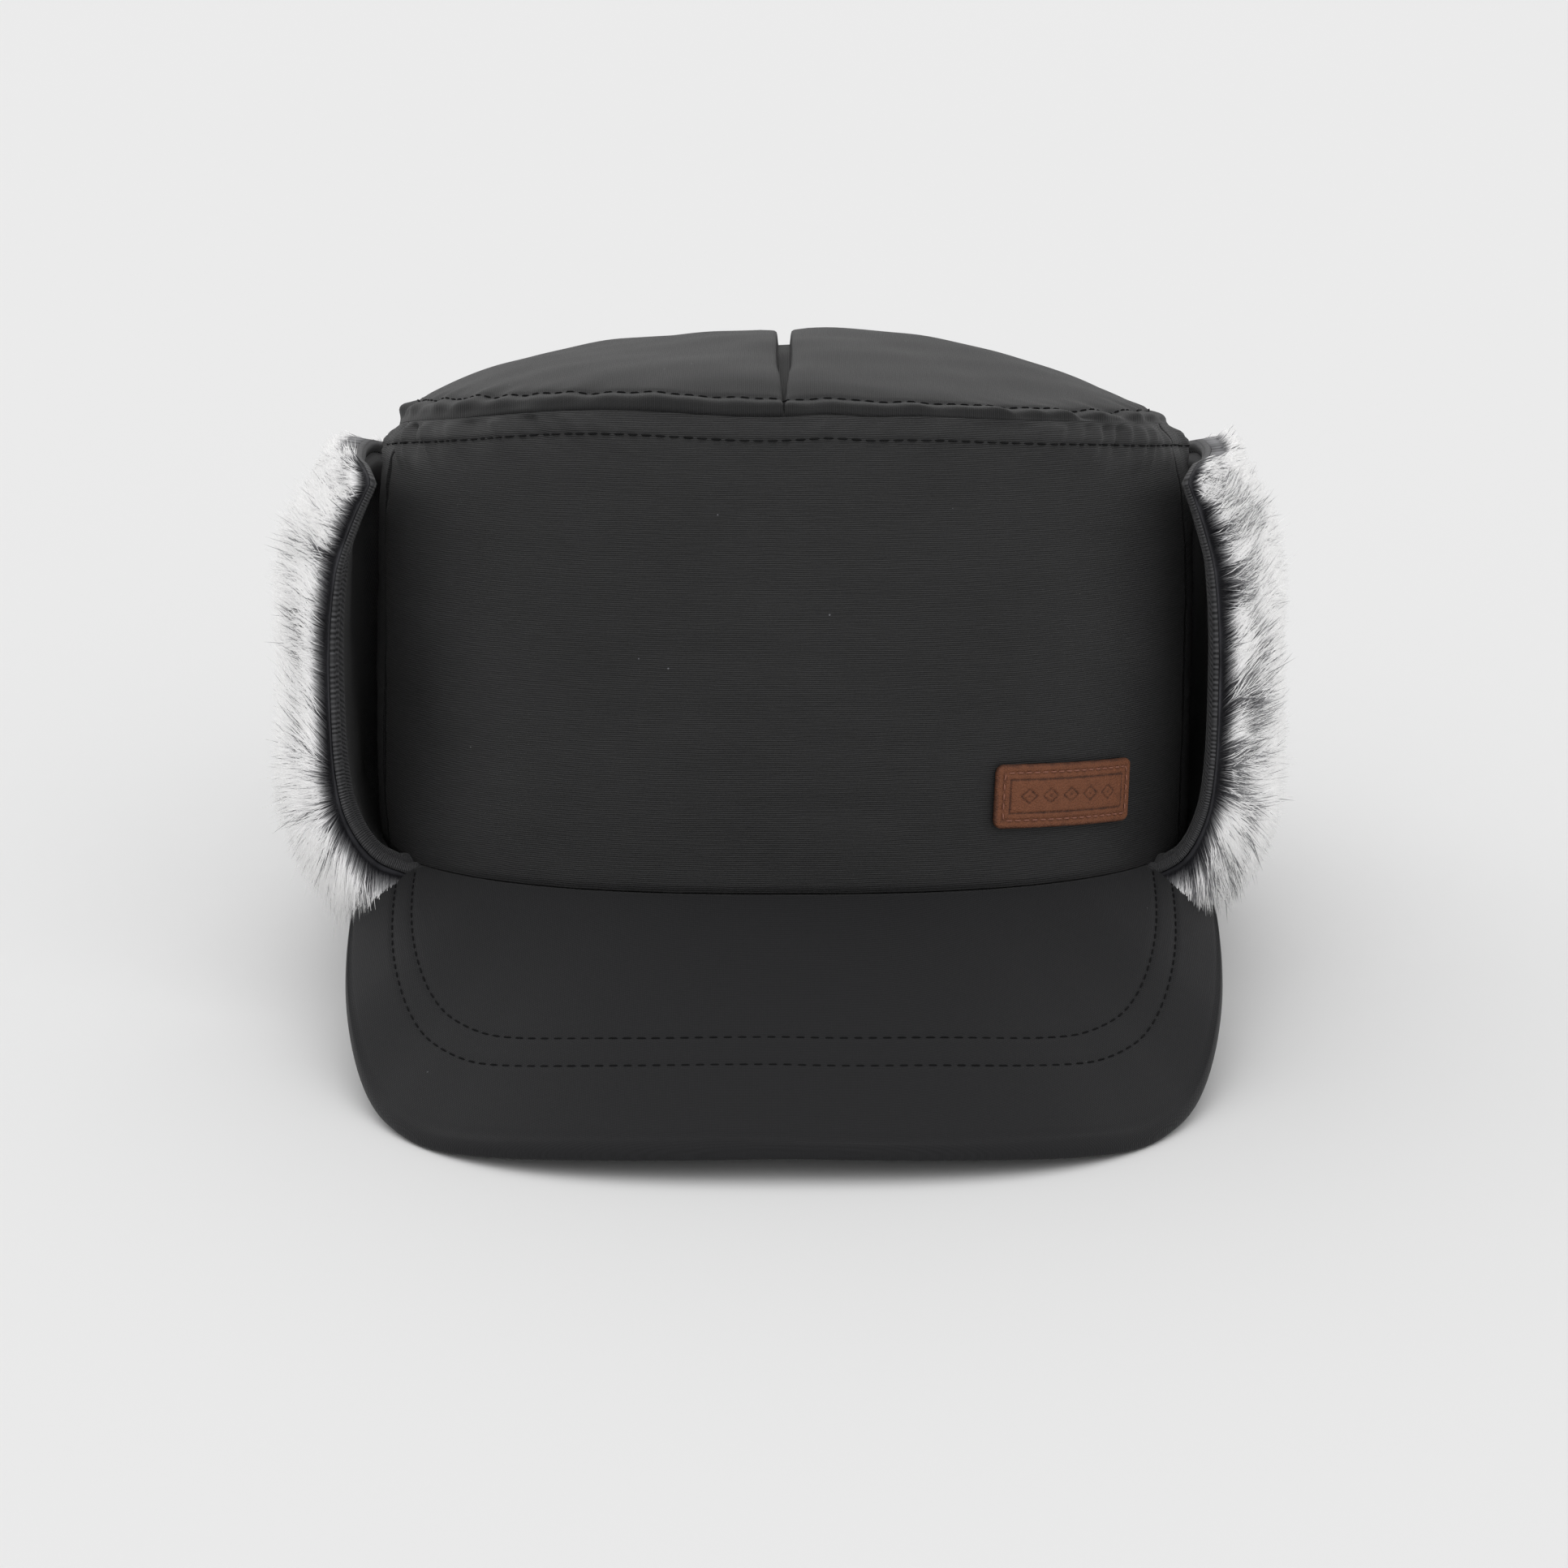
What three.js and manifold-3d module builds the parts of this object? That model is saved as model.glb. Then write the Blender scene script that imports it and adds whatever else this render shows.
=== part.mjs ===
// A winter cap with a stiff peak and a fur-faced ear flap that is folded up round its sides and back.
// Lengths are in millimetres. The cap is shaped in its own frame: the hem lies in the plane Z = 0,
// +Z points up and the front looks along -Y. The last group leans it back onto peak and flap.
import * as THREE from 'three';
import { mergeVertices } from 'three/addons/utils/BufferGeometryUtils.js';
import Module from 'manifold-3d';

const wasm = await Module();
wasm.setup();

// Crown
const crownHalfWidth = 90.4;
const crownFrontDepth = 100;
const crownBackDepth = 102;
const frontSquareness = 2.5;
const backSquareness = 2.15;
const frontHeight = 98;
const sideHeight = 89.5;
const backHeight = 84;
const frontInset = 8;
const sideInset = 5.5;
const crownWall = 2.2;
const seamDip = 2;
const seamDipAngle = 13;
const domeRise = 19.4;
const domeFullnessLeft = 0.6;
const domeFullnessRight = 0.85;
const sideSeamAngle = 64;
const weltHeight = 5.6;
const weltSlope = 1;
const weltRaise = 0.5;
const seamRisePower = 1.4;
const domeBaseBlend = 3;

// Pleat along the middle of the top; the share is the part of the panel's columns that it takes
const pleatOpening = 3.6;
const pleatClosed = 0.5;
const pleatDepth = 3.2;
const pleatShare = 0.12;
const pleatFloorShare = 0.7;

// Peak
const peakHalfWidth = 92.5;
const peakLength = 60;
const peakMiddleSetback = 38;
const peakSquareness = 3;
const peakDrop = 42;
const peakThickness = 3.2;
const peakCamber = 1.5;
const peakEndAngle = 96;
const peakFlapGap = 0.95;
const peakEdgeTaper = 0.012;

// Ear flap
const flapStartAngle = 51.8;
const flapSideHeight = 85.5;
const flapBackHeight = 74;
const flapRiseStart = 38;
const flapRiseEnd = 88;
const flapThickness = 1.8;
const flapStandOff = 7;
const flapFlareLeft = 12;
const flapFlareRight = 7.5;
const flareLength = 38;
const flarePower = 1.6;
const flapCornerDrop = 4;
const flapCornerLength = 7;
const flapColumns = 38;
const flapEndCrowding = 1.35;

// Fur
const furDepth = 12.5;
const furBelly = 10;
const furEndLength = 16;
const furEndShare = 0.4;
const lockLength = 17;
const lockWidth = 11;
const lockLift = 4.4;
const locksAlong = 34;

// Label
const labelWidth = 36;
const labelHeight = 13.4;
const labelThickness = 1.2;
const labelCorner = 1.8;
const labelMiddleAngle = 34.8;
const labelAboveHem = 18.7;
const labelTurn = -2.4;

// Fits and resting
const gap = 0.3;
const finestDetail = 0.05;
const closestVertices = 0.002;
const rearContactShare = 0.98;
const rearSquash = 1.8;
const degree = Math.PI / 180;

// Share of the crown's height against share of its inset at the top seam.
const crownProfile = [
  { height: 0, inset: 0 },
  { height: 0.32, inset: -0.1 },
  { height: 0.66, inset: -0.06 },
  { height: 0.82, inset: 0.06 },
  { height: 0.91, inset: 0.27 },
  { height: 0.96, inset: 0.55 },
  { height: 1, inset: 1 },
];

// Shares of the half width, from left to right, between which the dome's fullness changes over.
const fullnessChange = { from: -0.3, to: 0.9 };

// Share of the way from the front seam to the back seam against shares of the pleat's opening and depth.
const pleatRows = [
  { along: 0, opening: 0, depth: 0 },
  { along: 0.02, opening: 0, depth: 0.6 },
  { along: 0.045, opening: 0.25, depth: 1 },
  { along: 0.1, opening: 0.75, depth: 0.9 },
  { along: 0.2, opening: 1, depth: 0.7 },
  { along: 0.4, opening: 1, depth: 0.5 },
  { along: 0.6, opening: 0.95, depth: 0.6 },
  { along: 0.82, opening: 0.5, depth: 0.9 },
  { along: 0.95, opening: 0.06, depth: 0.9 },
  { along: 0.98, opening: 0, depth: 0.5 },
  { along: 1, opening: 0, depth: 0 },
];

// Share of the way along the peak's edge from its middle to its end against share of the peak's drop.
const peakEdgeRows = [
  { along: 0, drop: 0.95 },
  { along: 0.22, drop: 0.97 },
  { along: 0.42, drop: 1 },
  { along: 0.52, drop: 0.93 },
  { along: 0.7, drop: 0.56 },
  { along: 0.87, drop: 0.27 },
  { along: 1, drop: 0.12 },
];

// The flap's section from its root under the hem to its top edge: shares of its reach and height.
const flapSection = [
  { reach: 0.12, height: 0 },
  { reach: 0.45, height: 0.035 },
  { reach: 0.74, height: 0.11 },
  { reach: 0.9, height: 0.2 },
  { reach: 0.98, height: 0.35 },
  { reach: 1, height: 0.55 },
  { reach: 0.92, height: 0.76 },
  { reach: 0.72, height: 0.89 },
  { reach: 0.48, height: 1 },
];

// The fur's outer section from under the hem to above the flap: depth is a share of the fur's depth
// beyond the flap, height a share of the flap's height, belly a share of what hangs below the hem.
const furSection = [
  { reach: 0, depth: -0.1, height: 0, belly: 0.5 },
  { reach: 0.3, depth: 0.1, height: 0, belly: 0.92 },
  { reach: 0.55, depth: 0.32, height: 0, belly: 1 },
  { reach: 0.85, depth: 0.62, height: 0, belly: 0.7 },
  { reach: 1, depth: 0.82, height: 0.03, belly: 0 },
  { reach: 1, depth: 1.02, height: 0.2, belly: 0 },
  { reach: 1, depth: 1.06, height: 0.42, belly: 0 },
  { reach: 1, depth: 0.98, height: 0.62, belly: 0 },
  { reach: 0.98, depth: 0.78, height: 0.8, belly: 0 },
  { reach: 0.85, depth: 0.52, height: 0.92, belly: 0 },
  { reach: 0.6, depth: 0.34, height: 1.01, belly: 0 },
];

// Rows of locks: share of the way up the fur's outer section, way that the tips comb, and size.
const lockRows = [
  { place: 0.14, comb: -1, size: 0.55 },
  { place: 0.34, comb: -1, size: 0.9 },
  { place: 0.52, comb: -1, size: 1 },
  { place: 0.68, comb: 1, size: 1 },
  { place: 0.84, comb: 1, size: 0.6 },
];

// One lock's four corners round its girth, then its tip and its root, as shares of its length along
// the flow, of its width aside and of its lift off the fur.
const lockShape = [
  { along: 0.25, aside: 0.5, lift: -0.2 },
  { along: 0.3, aside: 0, lift: 0.5 },
  { along: 0.25, aside: -0.5, lift: -0.2 },
  { along: 0.2, aside: 0, lift: -1 },
  { along: 1, aside: 0, lift: 0.45 },
  { along: -0.4, aside: 0, lift: -0.6 },
];

/** Eased step from 0 below low to 1 above high. */
function smoothStep(low, high, value) {
  const share = Math.min(1, Math.max(0, (value - low) / (high - low)));
  return share * share * (3 - 2 * share);
}

/** Value of one column of a table at a key, on a smooth curve through the rows. */
function readTable(rows, key, value, column) {
  const last = rows.length - 1;
  if (value <= rows[0][key]) return rows[0][column];
  if (value >= rows[last][key]) return rows[last][column];
  const i = rows.findIndex((row) => row[key] > value) - 1;
  const slope = (j) => (rows[j + 1][column] - rows[j][column]) / (rows[j + 1][key] - rows[j][key]);
  const tangent = (j) => {
    if (j === 0) return slope(0);
    if (j === last) return slope(last - 1);
    const before = slope(j - 1);
    const after = slope(j);
    return before * after <= 0 ? 0 : (2 * before * after) / (before + after);
  };
  const span = rows[i + 1][key] - rows[i][key];
  const t = (value - rows[i][key]) / span;
  const t2 = t * t;
  const t3 = t2 * t;
  return (2 * t3 - 3 * t2 + 1) * rows[i][column] + (t3 - 2 * t2 + t) * span * tangent(i)
    + (3 * t2 - 2 * t3) * rows[i + 1][column] + (t3 - t2) * span * tangent(i + 1);
}

/** Repeatable number from 0 to 1 for two whole numbers, for the unevenness of the fur. */
function scatter(a, b) {
  const value = Math.sin(a * 12.9898 + b * 78.233) * 43758.5453;
  return value - Math.floor(value);
}

/** Hem outline at an angle from the front, in radians, turning towards +X. */
function outlinePoint(angle) {
  const inFront = Math.cos(angle) > 0;
  const depth = inFront ? crownFrontDepth : crownBackDepth;
  const power = inFront ? frontSquareness : backSquareness;
  const across = Math.abs(Math.sin(angle) / crownHalfWidth) ** power;
  const along = Math.abs(Math.cos(angle) / depth) ** power;
  const radius = (across + along) ** (-1 / power);
  return new THREE.Vector2(radius * Math.sin(angle), -radius * Math.cos(angle));
}

/** Direction that points away from the crown, square to its outline. */
function outlineNormal(angle) {
  const step = 0.002;
  const run = outlinePoint(angle + step).sub(outlinePoint(angle - step));
  return new THREE.Vector2(-run.y, run.x).normalize().negate();
}

/** Point at an angle, moved outwards from the hem outline, at a height. */
function aroundCrown(angle, outwards, height) {
  const point = outlinePoint(angle).addScaledVector(outlineNormal(angle), outwards);
  return new THREE.Vector3(point.x, point.y, height);
}

/** Height of the top seam above the hem at an angle. */
function seamHeight(angle) {
  const forward = Math.cos(angle);
  const target = forward > 0 ? frontHeight : backHeight;
  const dip = seamDip * Math.exp(-((angle / (seamDipAngle * degree)) ** 2));
  const level = sideHeight + (target - sideHeight) * Math.abs(forward) ** seamRisePower;
  return level + (forward > 0 ? seamDip - dip : 0) * forward;
}

/** How far the crown has drawn in at the top seam. */
function seamInset(angle) {
  return sideInset + (frontInset - sideInset) * Math.cos(angle) ** 2;
}

/** Outer surface of the crown's wall, with the raised welt under the top seam. */
function crownWallPoint(angle, share, inwards) {
  const height = seamHeight(angle) * share;
  const inset = seamInset(angle) * readTable(crownProfile, 'height', share, 'inset');
  const welt = weltRaise * smoothStep(weltHeight + weltSlope, weltHeight, seamHeight(angle) - height);
  return aroundCrown(angle, welt - inset - inwards, height);
}

/** Closed body between two grids of points; wrapped grids join their last column to the first. */
function bodyBetween(outer, inner, wrapped) {
  const columns = outer.length;
  const rows = outer[0].length;
  const positions = [];
  for (const grid of [outer, inner]) {
    for (const column of grid) {
      for (const point of column) positions.push(point.x, point.y, point.z);
    }
  }
  const id = (side, i, j) => side * columns * rows + (i % columns) * rows + j;
  const index = [];
  const quad = (a, b, c, d) => index.push(a, b, c, a, c, d);
  const spans = wrapped ? columns : columns - 1;
  for (let i = 0; i < spans; i += 1) {
    for (let j = 0; j < rows - 1; j += 1) {
      quad(id(0, i, j), id(0, i + 1, j), id(0, i + 1, j + 1), id(0, i, j + 1));
      quad(id(1, i, j), id(1, i, j + 1), id(1, i + 1, j + 1), id(1, i + 1, j));
    }
    quad(id(0, i, 0), id(1, i, 0), id(1, i + 1, 0), id(0, i + 1, 0));
    quad(id(0, i, rows - 1), id(0, i + 1, rows - 1), id(1, i + 1, rows - 1), id(1, i, rows - 1));
  }
  if (!wrapped) {
    for (let j = 0; j < rows - 1; j += 1) {
      quad(id(0, 0, j), id(0, 0, j + 1), id(1, 0, j + 1), id(1, 0, j));
      const end = columns - 1;
      quad(id(0, end, j), id(1, end, j), id(1, end, j + 1), id(0, end, j + 1));
    }
  }
  return indexedGeometry(positions, index);
}

/** Closed body of loops of points carried along a path, with both ends capped. */
function bodyOfLoops(loops) {
  const count = loops[0].length;
  const positions = loops.flatMap((loop) => loop.flatMap((point) => [point.x, point.y, point.z]));
  const index = [];
  for (let i = 0; i < loops.length - 1; i += 1) {
    for (let j = 0; j < count; j += 1) {
      const a = i * count + j;
      const b = i * count + ((j + 1) % count);
      index.push(a, b, b + count, a, b + count, a + count);
    }
  }
  const ends = [0, loops.length - 1];
  for (const end of ends) {
    const loop = loops[end];
    const middle = loop.reduce((sum, point) => sum.add(point), new THREE.Vector3()).divideScalar(count);
    const hub = positions.length / 3;
    positions.push(middle.x, middle.y, middle.z);
    for (let j = 0; j < count; j += 1) {
      const a = end * count + j;
      const b = end * count + ((j + 1) % count);
      if (end === 0) index.push(hub, b, a);
      else index.push(hub, a, b);
    }
  }
  return indexedGeometry(positions, index);
}

/** Geometry from positions and triangles, turned so that its faces point out. */
function indexedGeometry(positions, index) {
  const geometry = new THREE.BufferGeometry();
  geometry.setAttribute('position', new THREE.Float32BufferAttribute(positions, 3));
  geometry.setIndex(signedVolume(positions, index) < 0 ? flipped(index) : index);
  return geometry;
}

/** Volume enclosed by triangles, negative when they face inwards. */
function signedVolume(positions, index) {
  const corner = (k) => new THREE.Vector3().fromArray(positions, 3 * index[k]);
  let volume = 0;
  for (let k = 0; k < index.length; k += 3) {
    volume += corner(k).dot(corner(k + 1).cross(corner(k + 2))) / 6;
  }
  return volume;
}

/** Triangles with their order reversed. */
function flipped(index) {
  const turned = [];
  for (let k = 0; k < index.length; k += 3) turned.push(index[k], index[k + 2], index[k + 1]);
  return turned;
}

/** Solid for joining and cutting, from a closed geometry. */
function toSolid(geometry) {
  const bare = geometry.clone();
  bare.deleteAttribute('normal');
  bare.deleteAttribute('uv');
  const merged = mergeVertices(bare, closestVertices);
  return new wasm.Manifold(new wasm.Mesh({
    numProp: 3,
    vertProperties: Float32Array.from(merged.attributes.position.array),
    triVerts: Uint32Array.from(merged.index.array),
  }));
}

/** Geometry of a solid's outer surface, without slivers, crumbs and closed bubbles. */
function toGeometry(solid) {
  const outside = largestPiece(solid.simplify(finestDetail));
  return fromSolid(largestPiece(toSolid(fromSolid(outside))));
}

/** Connected surface that encloses the most. */
function largestPiece(solid) {
  return solid.decompose().reduce((best, next) => (next.volume() > best.volume() ? next : best));
}

/** Geometry with the vertices and triangles of a solid. */
function fromSolid(solid) {
  const mesh = solid.getMesh();
  const geometry = new THREE.BufferGeometry();
  geometry.setAttribute('position', new THREE.BufferAttribute(Float32Array.from(mesh.vertProperties), 3));
  geometry.setIndex(new THREE.BufferAttribute(Uint32Array.from(mesh.triVerts), 1));
  return geometry;
}

/** Evenly spaced numbers from first to last. */
function steps(first, last, count) {
  return Array.from({ length: count + 1 }, (_, i) => first + ((last - first) * i) / count);
}

/** A panel of the crown's wall between two angles, in radians. */
function wallPanel(first, last, columns) {
  const heights = [0, 0.2, 0.5, 0.74, 0.88, 0.94, 0.955, 1];
  const angles = steps(first, last, columns);
  const outer = angles.map((angle) => heights.map((share) => crownWallPoint(angle, share, 0)));
  const inner = angles.map((angle) => heights.map((share) => crownWallPoint(angle, share, crownWall)));
  return bodyBetween(outer, inner, false);
}

/** Front panel, from one side seam to the other. */
function frontPanel() {
  const end = sideSeamAngle * degree - gap / 2 / crownHalfWidth;
  return wallPanel(-end, end, 24);
}

/** Panel round the sides and back of the head. */
function backPanel() {
  const start = sideSeamAngle * degree + gap / 2 / crownHalfWidth;
  return wallPanel(start, 2 * Math.PI - start, 34);
}

/** Point of the top panel; across and along run from -1 to 1 over a square laid on the crown. */
function topPanelPoint(across, along, inwards) {
  const way = (along + 1) / 2;
  const opening = pleatClosed + (pleatOpening - pleatClosed) * readTable(pleatRows, 'along', way, 'opening');
  const narrowing = Math.sqrt(1 - (along * along) / 2);
  const pleatEdge = (opening / 2 + inwards) / (crownHalfWidth * narrowing);
  const side = Math.sign(across);
  const spread = Math.abs(across) < pleatShare
    ? (Math.abs(across) / pleatShare) * pleatEdge
    : pleatEdge + ((Math.abs(across) - pleatShare) / (1 - pleatShare)) * (1 - pleatEdge);
  const u = side * spread * narrowing;
  const v = along * Math.sqrt(1 - (spread * spread) / 2);
  const share = Math.min(1, Math.hypot(u, v));
  const angle = share > 0 ? Math.atan2(u, -v) : 0;
  const rim = aroundCrown(angle, weltRaise - seamInset(angle) - inwards, 0);
  const rightward = smoothStep(fullnessChange.from, fullnessChange.to, u);
  const fullness = domeFullnessLeft + (domeFullnessRight - domeFullnessLeft) * rightward;
  const dome = (domeRise - inwards) * (1 - share * share) ** fullness;
  const middleHeight = (frontHeight + backHeight) / 2;
  const base = middleHeight + (seamHeight(angle) - middleHeight) * share ** domeBaseBlend;
  const sunk = Math.abs(across) < pleatShare * pleatFloorShare
    ? pleatDepth * readTable(pleatRows, 'along', way, 'depth')
    : 0;
  return new THREE.Vector3(rim.x * share, rim.y * share, base + dome + gap - sunk);
}

/** Domed top with an inverted pleat from front to back. */
function topPanel() {
  const half = [0.04, 0.083, 0.12, 0.16, 0.3, 0.48, 0.66, 0.82, 0.93, 1];
  const across = [...half.map((value) => -value).reverse(), 0, ...half];
  const along = [-1, -0.975, -0.93, -0.84, -0.7, -0.52, -0.28, 0, 0.28, 0.54, 0.76, 0.9, 0.97, 1];
  const grid = (inwards) => across.map((a) => along.map((b) => topPanelPoint(a, b, inwards)));
  return bodyBetween(grid(0), grid(crownWall), false);
}

/** Plan point of the peak's outer edge; along runs from -1 to 1 from end to end. */
function peakEdge(along) {
  const angle = along * peakEndAngle * degree;
  const depth = peakLength + peakMiddleSetback;
  const across = Math.abs(Math.sin(angle) / peakHalfWidth) ** peakSquareness;
  const ahead = Math.abs(Math.cos(angle) / depth) ** peakSquareness;
  const radius = (across + ahead) ** (-1 / peakSquareness);
  const drop = peakDrop * readTable(peakEdgeRows, 'along', Math.abs(along), 'drop');
  const middle = peakMiddleSetback - crownFrontDepth;
  return new THREE.Vector3(radius * Math.sin(angle), middle - radius * Math.cos(angle), -drop);
}

/** Upper surface of the peak; outwards runs from 0 at the hem to 1 at the edge. */
function peakPoint(along, outwards) {
  const angle = along * (flapStartAngle * degree - peakFlapGap / crownHalfWidth);
  if (outwards < 0) return aroundCrown(angle, -crownWall, -gap);
  const hem = aroundCrown(angle, 0, -gap);
  const point = hem.clone().lerp(peakEdge(along), outwards);
  point.z += peakCamber * 4 * outwards * (1 - outwards) * (1 - along * along);
  return point;
}

/** Grid of the peak's upper surface, lowered by a distance, and drawn in by a share at its edge. */
function peakGrid(lowered, taper) {
  const outwards = [0, 0.25, 0.5, 0.75, 0.92 - taper, 1 - taper];
  return steps(-1, 1, 30).map((along) => [-1, ...outwards].map((share) => {
    const point = peakPoint(along, share);
    point.z -= lowered;
    return point;
  }));
}

/** Stiff peak, one curved board covered in cloth. */
function peak() {
  return bodyBetween(peakGrid(0, 0), peakGrid(peakThickness, peakEdgeTaper), false);
}

/** Everything from just above the peak down, which flap and fur stay clear of. */
function peakClearance() {
  return toSolid(bodyBetween(peakGrid(-gap, -peakEdgeTaper), peakGrid(peakDrop, -peakEdgeTaper), false));
}

/** Distance along the hem from the flap's front end, for an angle from the back, in radians. */
function fromFlapEnd(angle) {
  return Math.max(0, (Math.PI - flapStartAngle * degree - Math.abs(angle)) * crownHalfWidth);
}

/** Height of the flap's top edge at an angle from the back. */
function flapHeight(angle) {
  const rise = smoothStep(flapRiseStart * degree, flapRiseEnd * degree, Math.abs(angle));
  const corner = 1 - Math.sqrt(Math.min(1, fromFlapEnd(angle) / flapCornerLength));
  return flapBackHeight + (flapSideHeight - flapBackHeight) * rise - flapCornerDrop * corner;
}

/** How far the flap stands off the crown at an angle from the back, turning towards -X. */
function flapReach(angle) {
  const flare = Math.max(0, 1 - fromFlapEnd(angle) / flareLength) ** flarePower;
  return flapStandOff + (angle > 0 ? flapFlareRight : flapFlareLeft) * flare;
}

/** Middle line of the flap's section at an angle from the back: x is outwards, y is up. */
function flapLine(angle) {
  const reach = flapReach(angle);
  const height = flapHeight(angle);
  const rootDepth = gap + flapThickness / 2;
  const root = new THREE.Vector2(-crownWall, -rootDepth);
  return [root, ...flapSection.map((row) => new THREE.Vector2(
    row.reach * reach,
    row.height * (height + rootDepth) - rootDepth,
  ))];
}

/** A line of points in the section plane, moved sideways by a distance. */
function movedSideways(line, distance) {
  return line.map((point, i) => {
    const before = line[Math.max(0, i - 1)];
    const after = line[Math.min(line.length - 1, i + 1)];
    const run = after.clone().sub(before).normalize();
    return point.clone().add(new THREE.Vector2(run.y, -run.x).multiplyScalar(distance));
  });
}

/** Points of a section line set round the crown at an angle from the back. */
function setRound(angle, line) {
  return line.map((point) => aroundCrown(Math.PI - angle, point.x, point.y));
}

/** Angles from the back, closer together near the flap's two front ends, and past them if asked. */
function flapAngles(longer) {
  const end = Math.PI - flapStartAngle * degree;
  const angles = steps(-1, 1, flapColumns).map((share) => (
    end * Math.sign(share) * (1 - (1 - Math.abs(share)) ** flapEndCrowding)
  ));
  const past = end + longer / crownHalfWidth;
  return longer > 0 ? [-past, ...angles, past] : angles;
}

/** A line of points made longer at both ends. */
function lengthened(line, distance) {
  const last = line.length - 1;
  const first = line[0].clone().addScaledVector(line[0].clone().sub(line[1]).normalize(), distance);
  const end = line[last].clone().addScaledVector(line[last].clone().sub(line[last - 1]).normalize(), distance);
  return [first, ...line.slice(1, last), end];
}

/** Wall that follows the flap's section, as thick and as much longer all round as asked. */
function flapWall(thickness, longer) {
  const grid = (distance) => flapAngles(longer).map((angle) => (
    setRound(angle, movedSideways(lengthened(flapLine(angle), longer), distance))
  ));
  return toSolid(bodyBetween(grid(thickness / 2), grid(-thickness / 2), false));
}

/** Cloth side of the ear flap, folded up from the hem. */
function flapCloth() {
  return toGeometry(flapWall(flapThickness, 0).subtract(peakClearance()));
}

/** Outer line of the fur's section at an angle from the back. */
function furLine(angle) {
  const reach = flapReach(angle) + flapThickness / 2;
  const height = flapHeight(angle);
  const end = Math.min(1, Math.max(0, fromFlapEnd(angle) / furEndLength));
  const depth = furDepth * (furEndShare + (1 - furEndShare) * Math.sqrt(1 - (1 - end) ** 2));
  return furSection.map((row) => new THREE.Vector2(
    row.reach * reach + row.depth * depth,
    row.height * height - row.belly * furBelly - (row.belly > 0 ? gap : 0),
  ));
}

/** Closed loop of the fur's section: its outer line, then back down inside the flap's wall. */
function furLoop(angle) {
  return setRound(angle, [...furLine(angle), ...flapLine(angle).reverse()]);
}

/** One lock of fur: a flat, pointed tuft whose tip lifts off the fur's outer surface. */
function furLock(root, outwards, flow, size) {
  const side = new THREE.Vector3().crossVectors(outwards, flow).normalize();
  const at = (along, aside, lift) => root.clone()
    .addScaledVector(flow, along * lockLength * size)
    .addScaledVector(side, aside * lockWidth * size)
    .addScaledVector(outwards, lift * lockLift * size);
  const girth = lockShape.length - 2;
  const positions = lockShape.flatMap((row) => at(row.along, row.aside, row.lift).toArray());
  const index = [];
  for (let k = 0; k < girth; k += 1) {
    const next = (k + 1) % girth;
    index.push(k, next, girth, next, k, girth + 1);
  }
  return toSolid(indexedGeometry(positions, index));
}

/** All locks of the flap, in rows that are set off from each other and comb up or down. */
function furLocks() {
  const end = Math.PI - flapStartAngle * degree;
  return lockRows.flatMap((row, j) => steps(0, locksAlong - 1, locksAlong - 1).map((i) => {
    const shift = (j % 2) / 2 + 0.3 * (scatter(i, j) - 0.5);
    const angle = end * ((2 * (i + 0.25 + shift)) / locksAlong - 1);
    const line = furLine(angle);
    const place = row.place * (line.length - 1);
    const low = Math.floor(place);
    const point = line[low].clone().lerp(line[low + 1], place - low);
    const run = line[low + 1].clone().sub(line[low]).normalize();
    const away = outlineNormal(Math.PI - angle);
    const outwards = new THREE.Vector3(away.x * run.y, away.y * run.y, -run.x);
    const upwards = new THREE.Vector3(away.x * run.x, away.y * run.x, run.y);
    const sweep = new THREE.Vector3(-away.y, away.x, 0).multiplyScalar(scatter(j, i) - 0.5);
    const flow = upwards.multiplyScalar(row.comb).add(sweep).normalize();
    const size = row.size * (0.85 + 0.3 * scatter(i + 7, j + 3));
    return furLock(aroundCrown(Math.PI - angle, point.x, point.y), outwards, flow, size);
  }));
}

/** Fur side of the ear flap: a backing with locks, flattened where it rests. */
function flapFur(floorBlock) {
  const backing = toSolid(bodyOfLoops(flapAngles(0).map((angle) => furLoop(angle))));
  const locked = furLocks().reduce((sum, lock) => sum.add(lock), backing);
  const clear = locked.subtract(flapWall(flapThickness + 2 * gap, flapStandOff));
  return toGeometry(clear.subtract(peakClearance()).subtract(floorBlock));
}

/** Rounded leather label, laid on the front panel. */
function label() {
  const middle = labelMiddleAngle * degree;
  const along = [-1, -0.985, -0.94, -0.8, -0.45, 0, 0.45, 0.8, 0.94, 0.985, 1];
  const up = [-1, -0.6, 0, 0.6, 1];
  const turn = labelTurn * degree;
  const arcPerRadian = outlinePoint(middle + 0.01).distanceTo(outlinePoint(middle - 0.01)) / 0.02;
  const place = (x, z, outwards) => {
    const turnedX = x * Math.cos(turn) - z * Math.sin(turn);
    const turnedZ = x * Math.sin(turn) + z * Math.cos(turn);
    const angle = middle + turnedX / arcPerRadian;
    const share = (labelAboveHem + turnedZ) / seamHeight(angle);
    return crownWallPoint(angle, share, -outwards);
  };
  const grid = (outwards) => along.map((a) => {
    const fromEnd = (1 - Math.abs(a)) * (labelWidth / 2);
    const cut = fromEnd < labelCorner
      ? labelCorner - Math.sqrt(Math.max(0, labelCorner ** 2 - (labelCorner - fromEnd) ** 2))
      : 0;
    return up.map((b) => place((a * labelWidth) / 2, b * (labelHeight / 2 - cut), outwards));
  });
  return bodyBetween(grid(gap + labelThickness), grid(gap), false);
}

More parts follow.
